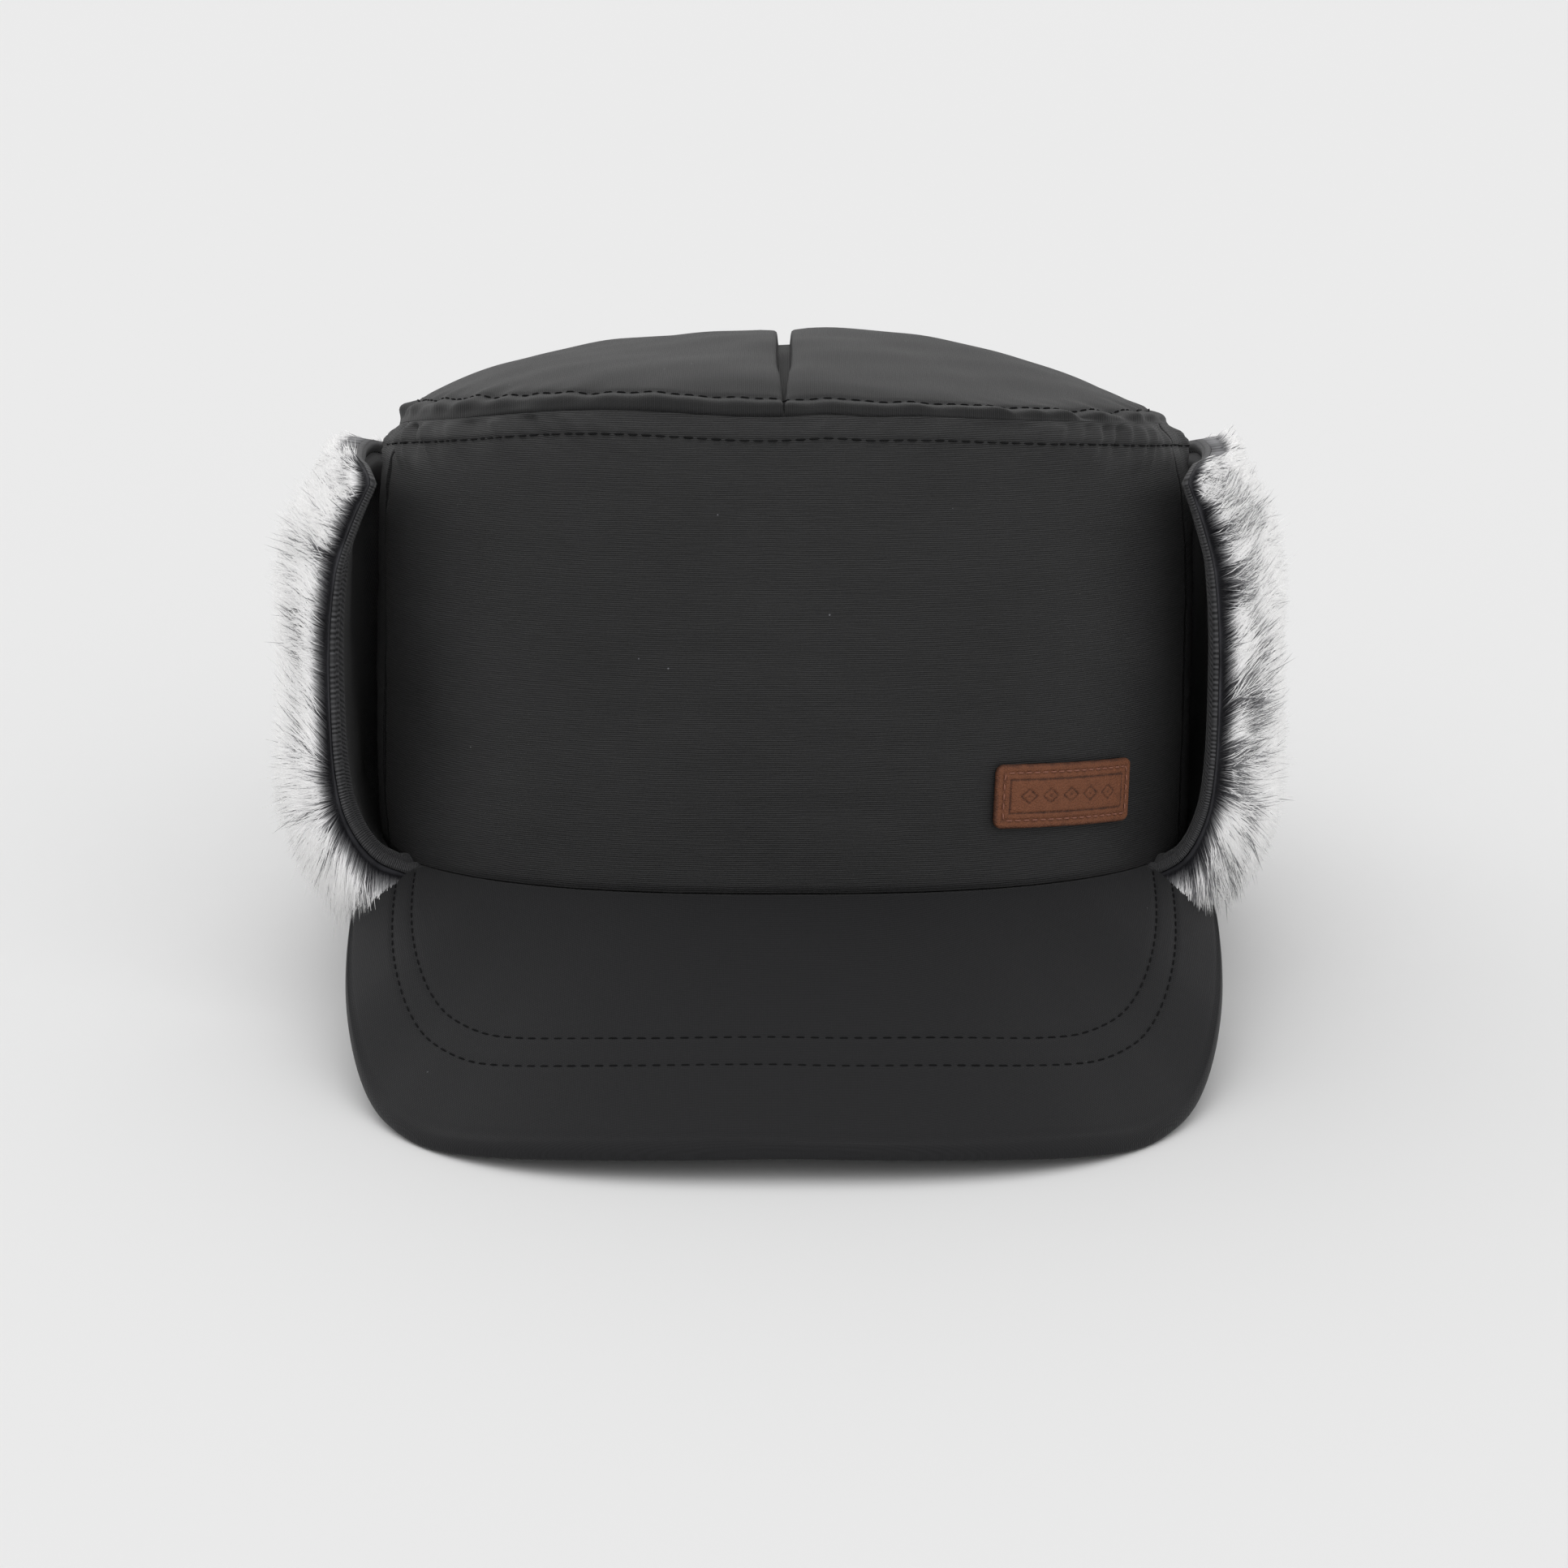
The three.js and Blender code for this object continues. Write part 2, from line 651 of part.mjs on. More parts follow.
/** Angle by which the cap leans back when it rests on its peak and on the back of its flap. */
function restingLean(peakGeometry) {
  const rear = new THREE.Vector2(crownBackDepth * rearContactShare, rearSquash - furBelly);
  const positions = peakGeometry.attributes.position;
  let lean = 0;
  for (let i = 0; i < positions.count; i += 1) {
    lean = Math.max(lean, Math.atan2(rear.y - positions.getZ(i), rear.x - positions.getY(i)));
  }
  return { lean, rear };
}

/** Block that fills everything below the surface that the cap rests on, in the cap's own frame. */
function belowFloor(lean, rear) {
  const size = 4 * crownBackDepth;
  const block = new THREE.BoxGeometry(size, size, size);
  block.translate(0, 0, -size / 2);
  block.rotateX(lean);
  block.translate(0, rear.x, rear.y);
  return toSolid(block);
}

const shellCloth = new THREE.MeshStandardMaterial({ color: 0x2f2f31, roughness: 0.62, metalness: 0 });
const peakCloth = new THREE.MeshStandardMaterial({ color: 0x2c2c2e, roughness: 0.7, metalness: 0 });
const flapClothFinish = new THREE.MeshStandardMaterial({ color: 0x2a2a2c, roughness: 0.65, metalness: 0 });
const greyFur = new THREE.MeshStandardMaterial({ color: 0xb4b3b6, roughness: 0.85, metalness: 0 });
const brownLeather = new THREE.MeshStandardMaterial({ color: 0x7a4128, roughness: 0.6, metalness: 0 });

/** Named mesh of one piece. */
function piece(name, geometry, material) {
  const mesh = new THREE.Mesh(geometry, material);
  mesh.name = name;
  return mesh;
}

const peakGeometry = peak();
const { lean, rear } = restingLean(peakGeometry);
const cap = new THREE.Group();
cap.add(
  piece('front_panel', frontPanel(), shellCloth),
  piece('back_panel', backPanel(), shellCloth),
  piece('top_panel', topPanel(), shellCloth),
  piece('peak', peakGeometry, peakCloth),
  piece('flap_cloth', flapCloth(), flapClothFinish),
  piece('flap_fur', flapFur(belowFloor(lean, rear)), greyFur),
  piece('label', label(), brownLeather),
);
// The rear contact comes down onto the surface, the cap leans back about it, and the whole is
// moved along so that its middle lies over the origin.
cap.position.set(0, -rear.x, -rear.y);
const leaning = new THREE.Group();
leaning.add(cap);
leaning.rotation.x = -lean;
const resting = new THREE.Group();
resting.add(leaning);
leaning.position.y = -new THREE.Box3().setFromObject(resting, true).getCenter(new THREE.Vector3()).y;

export default resting;
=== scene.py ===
"""Winter cap with a stiff peak and a fur-faced ear flap folded up round its sides and back."""
import logging
from dataclasses import dataclass, field
from enum import Enum
from typing import Sequence

import bpy
import numpy as np
from mathutils import Matrix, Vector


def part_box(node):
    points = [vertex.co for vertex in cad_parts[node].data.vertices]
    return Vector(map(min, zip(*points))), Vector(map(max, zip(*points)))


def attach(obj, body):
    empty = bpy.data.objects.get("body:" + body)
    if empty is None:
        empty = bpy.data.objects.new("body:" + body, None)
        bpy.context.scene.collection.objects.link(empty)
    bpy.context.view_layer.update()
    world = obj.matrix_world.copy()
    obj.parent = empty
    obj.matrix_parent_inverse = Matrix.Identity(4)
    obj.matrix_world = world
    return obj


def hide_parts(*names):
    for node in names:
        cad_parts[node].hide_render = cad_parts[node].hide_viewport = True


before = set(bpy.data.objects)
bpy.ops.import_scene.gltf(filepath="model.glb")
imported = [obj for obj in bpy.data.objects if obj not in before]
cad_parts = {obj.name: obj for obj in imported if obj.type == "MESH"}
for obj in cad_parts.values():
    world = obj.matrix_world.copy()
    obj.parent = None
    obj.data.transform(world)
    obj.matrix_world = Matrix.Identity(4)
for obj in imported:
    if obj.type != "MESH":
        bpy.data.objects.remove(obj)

log = logging.getLogger("cap")
MM = 0.001
UV_SCALE = 0.01
Table = Sequence[tuple[float, float]]


# Numbers and tables

def smooth(low: float, high: float, value: np.ndarray | float) -> np.ndarray:
    """Eased step: 0 below low, 1 above high, 3t^2 - 2t^3 between."""
    t = np.clip((np.asarray(value, float) - low) / (high - low), 0, 1)
    return t * t * (3 - 2 * t)


def through(rows: Table, value: np.ndarray | float) -> np.ndarray:
    """Smooth curve through the rows of a table.

    The curve is a cubic between rows whose slope at a row is the harmonic mean of the slopes on its
    two sides, or 0 where they differ in sign, so it never overshoots.

    Args:
        rows: pairs of key and value, with rising keys.
        value: keys to read the curve at.

    Returns:
        The curve's values.
    """
    keys, values = (np.array(column, float) for column in zip(*rows))
    span = np.diff(keys)
    slope = np.diff(values) / span
    before, after = np.r_[slope[0], slope], np.r_[slope, slope[-1]]
    product = before * after
    total = np.where(before + after == 0, 1, before + after)
    tangent = np.where(product > 0, 2 * product / total, 0)
    tangent[0], tangent[-1] = slope[0], slope[-1]
    v = np.clip(np.asarray(value, float), keys[0], keys[-1])
    i = np.clip(np.searchsorted(keys, v, side="right") - 1, 0, len(span) - 1)
    t = (v - keys[i]) / span[i]
    return ((2 * t**3 - 3 * t**2 + 1) * values[i] + (t**3 - 2 * t**2 + t) * span[i] * tangent[i]
            + (3 * t**2 - 2 * t**3) * values[i + 1] + (t**3 - t**2) * span[i] * tangent[i + 1])


def ripple(u: np.ndarray, v: np.ndarray, size: float, seed: int, waves: int = 9) -> np.ndarray:
    """Smooth unevenness: the mean of plane waves of random direction and phase, about 1 in height.

    Args:
        u: first coordinate, in millimetres.
        v: second coordinate, in millimetres.
        size: typical length of one wave, in millimetres.
        seed: seed of the random directions.
        waves: number of waves.

    Returns:
        Heights from about -1 to 1.
    """
    rng = np.random.default_rng(seed)
    total = np.zeros(np.broadcast(u, v).shape)
    for _ in range(waves):
        turn, phase = rng.uniform(0, 2 * np.pi, 2)
        length = size * rng.uniform(0.6, 1.7)
        total += np.sin(2 * np.pi * (u * np.cos(turn) + v * np.sin(turn)) / length + phase)
    return total / np.sqrt(waves)


def unit(vectors: np.ndarray) -> np.ndarray:
    """The vectors, each made one long."""
    return vectors / np.maximum(np.linalg.norm(vectors, axis=-1, keepdims=True), 1e-12)


def bell(distance: np.ndarray, width: float) -> np.ndarray:
    """Bell curve exp(-(distance / width)^2)."""
    return np.exp(-((distance / width) ** 2))


# The cap's form, in millimetres, with the hem in the plane Z = 0 and the front along -Y

@dataclass(frozen=True)
class Crown:
    """Crown of the cap, whose hem outline is a squared oval."""

    half_width: float = 90.4
    front_depth: float = 100.0
    back_depth: float = 102.0
    front_squareness: float = 2.5
    back_squareness: float = 2.15
    front_height: float = 98.0
    side_height: float = 89.5
    back_height: float = 84.0
    front_inset: float = 8.0
    side_inset: float = 5.5
    wall: float = 2.2
    seam_dip: float = 2.0
    seam_dip_angle: float = 13.0
    seam_sag: float = 1.3
    welt_raise: float = 0.5
    welt_height: float = 4.6
    side_seam_angle: float = 64.0
    gap: float = 0.3
    profile: Table = ((0, 0), (0.32, -0.1), (0.66, -0.06), (0.82, 0.06), (0.91, 0.27), (0.96, 0.55), (1, 1))

    def turned(self, angle: np.ndarray) -> np.ndarray:
        """Angles from the front in radians, as degrees from -180 to 180."""
        return np.degrees((angle + np.pi) % (2 * np.pi) - np.pi)

    def outline(self, angle: np.ndarray) -> np.ndarray:
        """Hem outline, |x/a|^n + |y/b|^n = 1.

        Args:
            angle: angles from the front, in radians.

        Returns:
            Level places in millimetres.
        """
        front = np.cos(angle) > 0
        depth = np.where(front, self.front_depth, self.back_depth)
        power = np.where(front, self.front_squareness, self.back_squareness)
        across = np.abs(np.sin(angle) / self.half_width) ** power
        radius = (across + np.abs(np.cos(angle) / depth) ** power) ** (-1 / power)
        return np.stack([radius * np.sin(angle), -radius * np.cos(angle)], -1)

    def away(self, angle: np.ndarray) -> np.ndarray:
        """Level direction away from the crown, square to its outline."""
        run = self.outline(angle + 0.002) - self.outline(angle - 0.002)
        return unit(np.stack([run[..., 1], -run[..., 0]], -1))

    def around(self, angle: np.ndarray, out: np.ndarray, height: np.ndarray) -> np.ndarray:
        """Points round the crown.

        Args:
            angle: angles from the front, in radians.
            out: distances out from the hem outline.
            height: heights above the hem.

        Returns:
            Points in the cap's own frame.
        """
        plan = self.outline(angle) + self.away(angle) * np.asarray(out)[..., None]
        return np.concatenate([plan, np.broadcast_to(height, plan.shape[:-1])[..., None]], -1)

    def seam_height(self, angle: np.ndarray) -> np.ndarray:
        """Height of the top seam: high in front, low behind, dipped at the pleat and sagging right.

        Args:
            angle: angles from the front, in radians.

        Returns:
            Heights above the hem.
        """
        forward = np.cos(angle)
        target = np.where(forward > 0, self.front_height, self.back_height)
        turned = self.turned(angle)
        dip = self.seam_dip * (1 - bell(turned, self.seam_dip_angle))
        sag = self.seam_sag * smooth(4, 12, turned) * (1 - smooth(45, 70, turned))
        wave = 0.35 * np.sin(turned / 6.1) * bell(turned, 60)
        level = self.side_height + (target - self.side_height) * np.abs(forward) ** 1.4
        return level + np.where(forward > 0, dip * forward, 0) - sag + wave

    def seam_inset(self, angle: np.ndarray) -> np.ndarray:
        """How far the crown has drawn in at the top seam."""
        return self.side_inset + (self.front_inset - self.side_inset) * np.cos(angle) ** 2

    def wall_point(self, angle: np.ndarray, share: np.ndarray, out: np.ndarray) -> np.ndarray:
        """Points on the crown's wall.

        Args:
            angle: angles from the front, in radians.
            share: shares of the seam's height.
            out: distances out from the wall.

        Returns:
            Points in the cap's own frame.
        """
        height = self.seam_height(angle) * share
        inset = self.seam_inset(angle) * through(self.profile, share)
        below = self.seam_height(angle) - height
        welt = self.welt_raise * smooth(self.welt_height + 0.8, self.welt_height - 0.4, below)
        return self.around(angle, welt - inset + out, height)


@dataclass(frozen=True)
class Rest:
    """How the cap leans back on its peak and on the back of its fur, in millimetres."""

    rear_y: float = 99.96
    rear_z: float = -8.2

    def lean(self, peak_low: np.ndarray) -> float:
        """Angle of the line from the rear contact to the peak's lowest edge, in radians."""
        angles = np.arctan2(self.rear_z - peak_low[..., 2], self.rear_y - peak_low[..., 1])
        return float(angles.max())


class Placement:
    """Carries points from the cap's own frame, in millimetres, into the frame's, in metres."""

    def __init__(self, rest: Rest, peak_surface: np.ndarray) -> None:
        """Finds the lean and the way along from the peak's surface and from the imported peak's box.

        Args:
            rest: where the cap's back touches down.
            peak_surface: points on the peak, in the cap's own frame.
        """
        self.angle = rest.lean(peak_surface)
        self.pivot = np.array([0.0, rest.rear_y, rest.rear_z])
        self.shift = np.zeros(3)
        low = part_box("peak")[0]
        self.shift = np.array([0.0, low[1] - self(peak_surface)[..., 1].min(), 0.0])

    def turn(self, vectors: np.ndarray) -> np.ndarray:
        """Directions after the lean, a turn about X."""
        c, s = np.cos(-self.angle), np.sin(-self.angle)
        x, y, z = np.moveaxis(vectors, -1, 0)
        return np.stack([x, c * y - s * z, s * y + c * z], -1)

    def __call__(self, points: np.ndarray) -> np.ndarray:
        """Points after the lean and the move, in metres."""
        return self.turn(np.asarray(points, float) - self.pivot) * MM + self.shift


# Meshes from grids

def make_object(name: str, points: np.ndarray, faces: np.ndarray, uv: np.ndarray | None = None,
                tone: np.ndarray | None = None) -> bpy.types.Object:
    """Mesh object at the origin from whole arrays.

    Args:
        name: the object's name.
        points: places in metres, one row each.
        faces: corner numbers, one row each, all with as many corners.
        uv: a pair of values for each point, put on the UV map.
        tone: one value for each point, kept as the attribute tone.

    Returns:
        The new object.
    """
    mesh = bpy.data.meshes.new(name)
    mesh.from_pydata(points.reshape(-1, 3), [], faces)
    mesh.shade_smooth()
    if uv is not None:
        layer = mesh.uv_layers.new(name="UVMap")
        layer.data.foreach_set("uv", uv.reshape(-1, 2)[faces.ravel()].astype(np.float32).ravel())
    if tone is not None:
        attribute = mesh.attributes.new("tone", "FLOAT", "POINT")
        attribute.data.foreach_set("value", tone.astype(np.float32).ravel())
    mesh.update()
    made = bpy.data.objects.new(name, mesh)
    bpy.context.scene.collection.objects.link(made)
    return made


def outward(points: np.ndarray, faces: np.ndarray) -> np.ndarray:
    """The faces, turned round if the volume that they enclose, sum of a.(b x c) / 6, is negative."""
    p = points.reshape(-1, 3) - points.reshape(-1, 3).mean(0)
    a, b, c = (p[faces[:, k]] for k in (0, 1, 2))
    volume = np.einsum("ij,ij->i", a, np.cross(b, c)).sum()
    if faces.shape[1] == 4:
        d = p[faces[:, 3]]
        volume += np.einsum("ij,ij->i", a, np.cross(c, d)).sum()
    return faces if volume > 0 else faces[:, ::-1]


def shell_faces(columns: int, rows: int) -> np.ndarray:
    """Quads of a wall between two grids that lie one after the other in one list of points.

    Args:
        columns: columns of each grid.
        rows: rows of each grid.

    Returns:
        Corner numbers, four to a row.
    """
    i, j = np.meshgrid(np.arange(columns - 1) * rows, np.arange(rows - 1), indexing="ij")
    far = columns * rows
    a, b, c, d = (x.ravel() for x in (i + j, i + rows + j, i + rows + j + 1, i + j + 1))
    i, j = np.arange(columns - 1) * rows, np.arange(rows - 1)
    n, top, end = i + rows, rows - 1, (columns - 1) * rows
    return np.concatenate([
        np.stack([a, b, c, d], 1),
        np.stack([a, d, c, b], 1) + far,
        np.stack([i, i + far, n + far, n], 1),
        np.stack([i + top, n + top, n + top + far, i + top + far], 1),
        np.stack([j, j + 1, j + 1 + far, j + far], 1),
        np.stack([j + end, j + end + far, j + 1 + end + far, j + 1 + end], 1)])


def make_shell(name: str, outer: np.ndarray, inner: np.ndarray, place: Placement, uv: np.ndarray,
               tone: np.ndarray | None = None) -> bpy.types.Object:
    """Closed wall between two grids of points in the cap's own frame.

    Args:
        name: the object's name.
        outer: grid of the outer surface.
        inner: grid of the inner surface, of the same size.
        place: carries points into the frame.
        uv: a pair of millimetres for each point of one grid.
        tone: one value for each point of the outer grid.

    Returns:
        The new object.
    """
    points = place(np.concatenate([outer.reshape(-1, 3), inner.reshape(-1, 3)]))
    points[:, 2] = np.maximum(points[:, 2], 0)
    faces = outward(points, shell_faces(*outer.shape[:2]))
    pairs = np.concatenate([uv.reshape(-1, 2)] * 2) * UV_SCALE
    tones = None if tone is None else np.concatenate([tone.ravel()] * 2)
    return make_object(name, points, faces, pairs, tones)


# Shaders

class Val:
    """A shader socket on which sums, differences and products can be written."""

    def __init__(self, shader: "Shader", socket: bpy.types.NodeSocket) -> None:
        """Wraps a socket of a shader's node tree."""
        self.shader = shader
        self.socket = socket

    def _with(self, operation: str, first: "Val | float", second: "Val | float") -> "Val":
        """Math node of two values."""
        return self.shader.node("ShaderNodeMath", {"operation": operation}, {0: first, 1: second})

    def __add__(self, other: "Val | float") -> "Val":
        """Sum."""
        return self._with("ADD", self, other)

    def __sub__(self, other: "Val | float") -> "Val":
        """Difference."""
        return self._with("SUBTRACT", self, other)

    def __rsub__(self, other: "Val | float") -> "Val":
        """Difference from a number."""
        return self._with("SUBTRACT", other, self)

    def __mul__(self, other: "Val | float") -> "Val":
        """Product."""
        return self._with("MULTIPLY", self, other)

    def __gt__(self, other: "Val | float") -> "Val":
        """1 where greater, 0 elsewhere."""
        return self._with("GREATER_THAN", self, other)

    __radd__ = __add__
    __rmul__ = __mul__

    def sine(self) -> "Val":
        """Sine of the value."""
        return self.shader.node("ShaderNodeMath", {"operation": "SINE"}, {0: self})

    def step(self, low: float, high: float) -> "Val":
        """Eased step from 0 at low to 1 at high."""
        settings = {"interpolation_type": "SMOOTHSTEP"}
        inputs = {"Value": self, "From Min": low, "From Max": high}
        return self.shader.node("ShaderNodeMapRange", settings, inputs)


class Shader:
    """Node tree of one finish."""

    def __init__(self, name: str) -> None:
        """Starts an empty material."""
        self.material = bpy.data.materials.new(name)
        self.material.use_nodes = True
        self.tree = self.material.node_tree
        self.tree.nodes.clear()

    def node(self, kind: str, settings: dict | None = None, inputs: dict | None = None,
             output: int | str = 0) -> Val:
        """Adds a node.

        Args:
            kind: the node's Blender type.
            settings: properties to set first; stops holds a colour ramp's stops.
            inputs: values or links, by the socket's name or number.
            output: the output to give back.

        Returns:
            The output as a value.
        """
        made = self.tree.nodes.new(kind)
        for key, value in (settings or {}).items():
            if key == "stops":
                ramp = made.color_ramp.elements
                while len(ramp) < len(value):
                    ramp.new(0.5)
                for stop, (position, colour) in zip(ramp, value):
                    stop.position, stop.color = position, colour
            else:
                setattr(made, key, value)
        for key, value in (inputs or {}).items():
            if isinstance(value, Val):
                self.tree.links.new(value.socket, made.inputs[key])
            else:
                made.inputs[key].default_value = value
        return Val(self, made.outputs[output])

    def noise(self, where: Val, scale: float, detail: float = 2.0, roughness: float = 0.5) -> Val:
        """Noise of about 1 / scale in size, from 0 to 1."""
        return self.node("ShaderNodeTexNoise", None, {
            "Vector": where, "Scale": scale, "Detail": detail, "Roughness": roughness})

    def place(self, stretch: tuple[float, float, float] = (1, 1, 1), uv: bool = True) -> Val:
        """The UV map in millimetres, or the object's own coordinates in millimetres, stretched."""
        source = self.node("ShaderNodeTexCoord", None, None, "UV" if uv else "Object")
        unit_scale = 100.0 if uv else 1000.0
        return self.node("ShaderNodeMapping", None, {
            "Vector": source, "Scale": tuple(unit_scale * s for s in stretch)})

    def parts(self, vector: Val) -> tuple[Val, Val]:
        """First two components of a vector."""
        split = self.node("ShaderNodeSeparateXYZ", None, {0: vector})
        return split, Val(self, split.socket.node.outputs[1])

    def mix(self, share: Val | float, first: Sequence[float] | Val, second: Sequence[float] | Val) -> Val:
        """Blend of two colours."""
        def colour(value: Sequence[float] | Val) -> Val | tuple[float, ...]:
            """A link as it is, or three numbers with alpha."""
            return value if isinstance(value, Val) else (*value, 1.0)
        return self.node("ShaderNodeMix", {"data_type": "RGBA"}, {
            0: share, 6: colour(first), 7: colour(second)}, 2)

    def finish(self, colour: Val, roughness: Val | float, height: Val | None, depth_mm: float,
               fixed: dict[str, float | tuple] | None = None) -> bpy.types.Material:
        """Closes the tree with a Principled shader.

        Args:
            colour: base colour.
            roughness: roughness.
            height: relief from 0 to 1, or nothing.
            depth_mm: what a relief of 1 stands for.
            fixed: constant values of the shader's other sockets.

        Returns:
            The finished material.
        """
        inputs: dict = {"Base Color": colour, "Roughness": roughness, **(fixed or {})}
        if height is not None:
            inputs["Normal"] = self.node("ShaderNodeBump", None, {
                "Height": height, "Distance": depth_mm * MM, "Strength": 1.0})
        surface = self.node("ShaderNodeBsdfPrincipled", None, inputs)
        self.node_output(surface)
        return self.material

    def node_output(self, surface: Val) -> None:
        """Links the surface to the material's output."""
        out = self.tree.nodes.new("ShaderNodeOutputMaterial")
        self.tree.links.new(surface.socket, out.inputs["Surface"])


@dataclass(frozen=True)
class Cloth:
    """Woven cloth with ribs: colour, rib spacing in millimetres, and how the ribs turn on the UV map."""

    name: str
    colour: tuple[float, float, float]
    light: tuple[float, float, float]
    rib: float = 0.42
    rib_depth: float = 0.05
    rib_way: tuple[float, float] = (0.0, 1.0)
    rib_contrast: float = 0.6
    cross: float = 0.3
    roughness: float = 0.62
    sheen: float = 0.25
    lint: float = 1.0
    lint_colour: tuple[float, float, float] = (0.26, 0.26, 0.28)
    shine: float = 0.27
    # Painted shade: how far the colour is darkened towards black where the attribute tone is high.
    shade: float = 0.0

    def material(self) -> bpy.types.Material:
        """Ribs as a sine across the rib direction, threads across them, slubs, mottling and lint, with
        painted shade inside the pleat where shade is set.
        """
        s = Shader(self.name)
        u, v = s.parts(s.place())
        wobble = s.noise(s.place((0.12, 0.12, 1)), 1.0, 2.0)
        ribs = ((u * self.rib_way[0] + v * self.rib_way[1] + wobble * 0.5) * (2 * np.pi / self.rib)).sine()
        threads = ((u * self.rib_way[1] - v * self.rib_way[0]) * (2 * np.pi / (self.rib * 0.8))).sine()
        slubs = s.noise(s.place((0.2, 1.8, 1)), 1.0, 2.0)
        mottle = s.noise(s.place((0.03, 0.03, 1)), 1.0, 3.0)
        grain = s.noise(s.place((2.2, 2.2, 1)), 1.0, 2.0)
        broken = s.noise(s.place((0.25 + 1.2 * self.rib_way[0], 0.25 + 1.2 * self.rib_way[1], 1)), 1.0, 3.0)
        ribbed = ribs * broken.step(0.25, 0.7) * self.rib_contrast
        share = ribbed + slubs * 0.14 + mottle * 0.4 + grain * 0.35
        base = s.mix(share - 0.05, self.colour, self.light)
        dots = s.node("ShaderNodeTexVoronoi", {"feature": "F1"}, {
            "Vector": s.place((0.16, 0.16, 1)), "Scale": 1.0})
        lint = (1 - dots.step(0.02, 0.035)) * (s.noise(s.place((0.05, 0.05, 1)), 1.0) > 0.56) * self.lint
        colour = s.mix(lint * 0.55, base, self.lint_colour)
        # Painted shade: the colour is darkened towards black by the attribute tone, which is high inside the
        # top's pleat.
        if self.shade:
            tone = s.node("ShaderNodeAttribute", {"attribute_name": "tone"}, None, "Fac")
            colour = s.mix(tone * self.shade, colour, (0.0, 0.0, 0.0))
        height = ribs * 0.5 + threads * self.cross * 0.5 + grain * 0.8 + 0.5
        rough = mottle * 0.12 + (self.roughness - 0.06)
        return s.finish(colour, rough, height, self.rib_depth, {
            "Sheen Weight": self.sheen, "Sheen Roughness": 0.45, "Specular IOR Level": self.shine})


@dataclass(frozen=True)
class Fur:
    """Pile whose colour runs from dark roots to pale tips along the attribute tone."""

    name: str
    stops: tuple[tuple[float, tuple[float, float, float, float]], ...] = (
        (0.0, (0.010, 0.010, 0.012, 1)), (0.18, (0.035, 0.035, 0.04, 1)), (0.38, (0.32, 0.32, 0.33, 1)),
        (0.6, (0.84, 0.835, 0.84, 1)), (0.9, (0.99, 0.985, 0.98, 1)))
    roughness: float = 0.6
    scatter: float = 0.2

    def material(self) -> bpy.types.Material:
        """Ramp over tone with light mottling; a little of it glows, as light scattered inside the pile."""
        s = Shader(self.name)
        tone = s.node("ShaderNodeAttribute", {"attribute_name": "tone"}, None, "Fac")
        mottle = s.noise(s.place((0.08, 0.08, 0.08), uv=False), 1.0, 3.0)
        level = tone + (mottle - 0.5) * 0.25
        ramp = s.node("ShaderNodeValToRGB", {"stops": self.stops}, {"Fac": level})
        return s.finish(ramp, self.roughness, None, 0.0, {
            "Emission Color": ramp, "Emission Strength": self.scatter, "Specular IOR Level": 0.3})


@dataclass(frozen=True)
class Leather:
    """Brown leather with pores, mottling and darker pressed and outer edges (attribute tone)."""

    name: str
    colour: tuple[float, float, float] = (0.172, 0.06, 0.026)
    dark: tuple[float, float, float] = (0.045, 0.017, 0.01)

    def material(self) -> bpy.types.Material:
        """Mottled brown, dark where tone is low, with a pebbled relief."""
        s = Shader(self.name)
        grain = s.node("ShaderNodeTexVoronoi", {"feature": "DISTANCE_TO_EDGE"}, {
            "Vector": s.place((1.5, 1.5, 1)), "Scale": 1.0})
        pores = s.noise(s.place((3.2, 3.2, 1)), 1.0, 3.0)
        mottle = s.noise(s.place((0.35, 0.35, 1)), 1.0, 4.0, 0.65)
        tone = s.node("ShaderNodeAttribute", {"attribute_name": "tone"}, None, "Fac")
        share = (tone * 0.85 + (mottle - 0.5) * 1.1 + (pores - 0.5) * 0.9).step(0.0, 0.95)
        colour = s.mix(share, self.dark, self.colour)
        height = grain.step(0.0, 0.25) * 0.6 + pores * 0.6
        return s.finish(colour, 0.82 - mottle * 0.25, height, 0.16, {"Specular IOR Level": 0.35})


@dataclass(frozen=True)
class Thread:
    """Sewing thread with twisted strands."""

    name: str
    colour: tuple[float, float, float]
    twist: float = 0.35

    def material(self) -> bpy.types.Material:
        """Plain colour with slanting strands as relief."""
        s = Shader(self.name)
        u, v = s.parts(s.place(uv=False))
        strands = ((u + v) * (2 * np.pi / self.twist)).sine()
        colour = s.mix(strands * 0.2 + 0.4, tuple(0.6 * c for c in self.colour), self.colour)
        return s.finish(colour, 0.8, strands, 0.03, {"Specular IOR Level": 0.2})


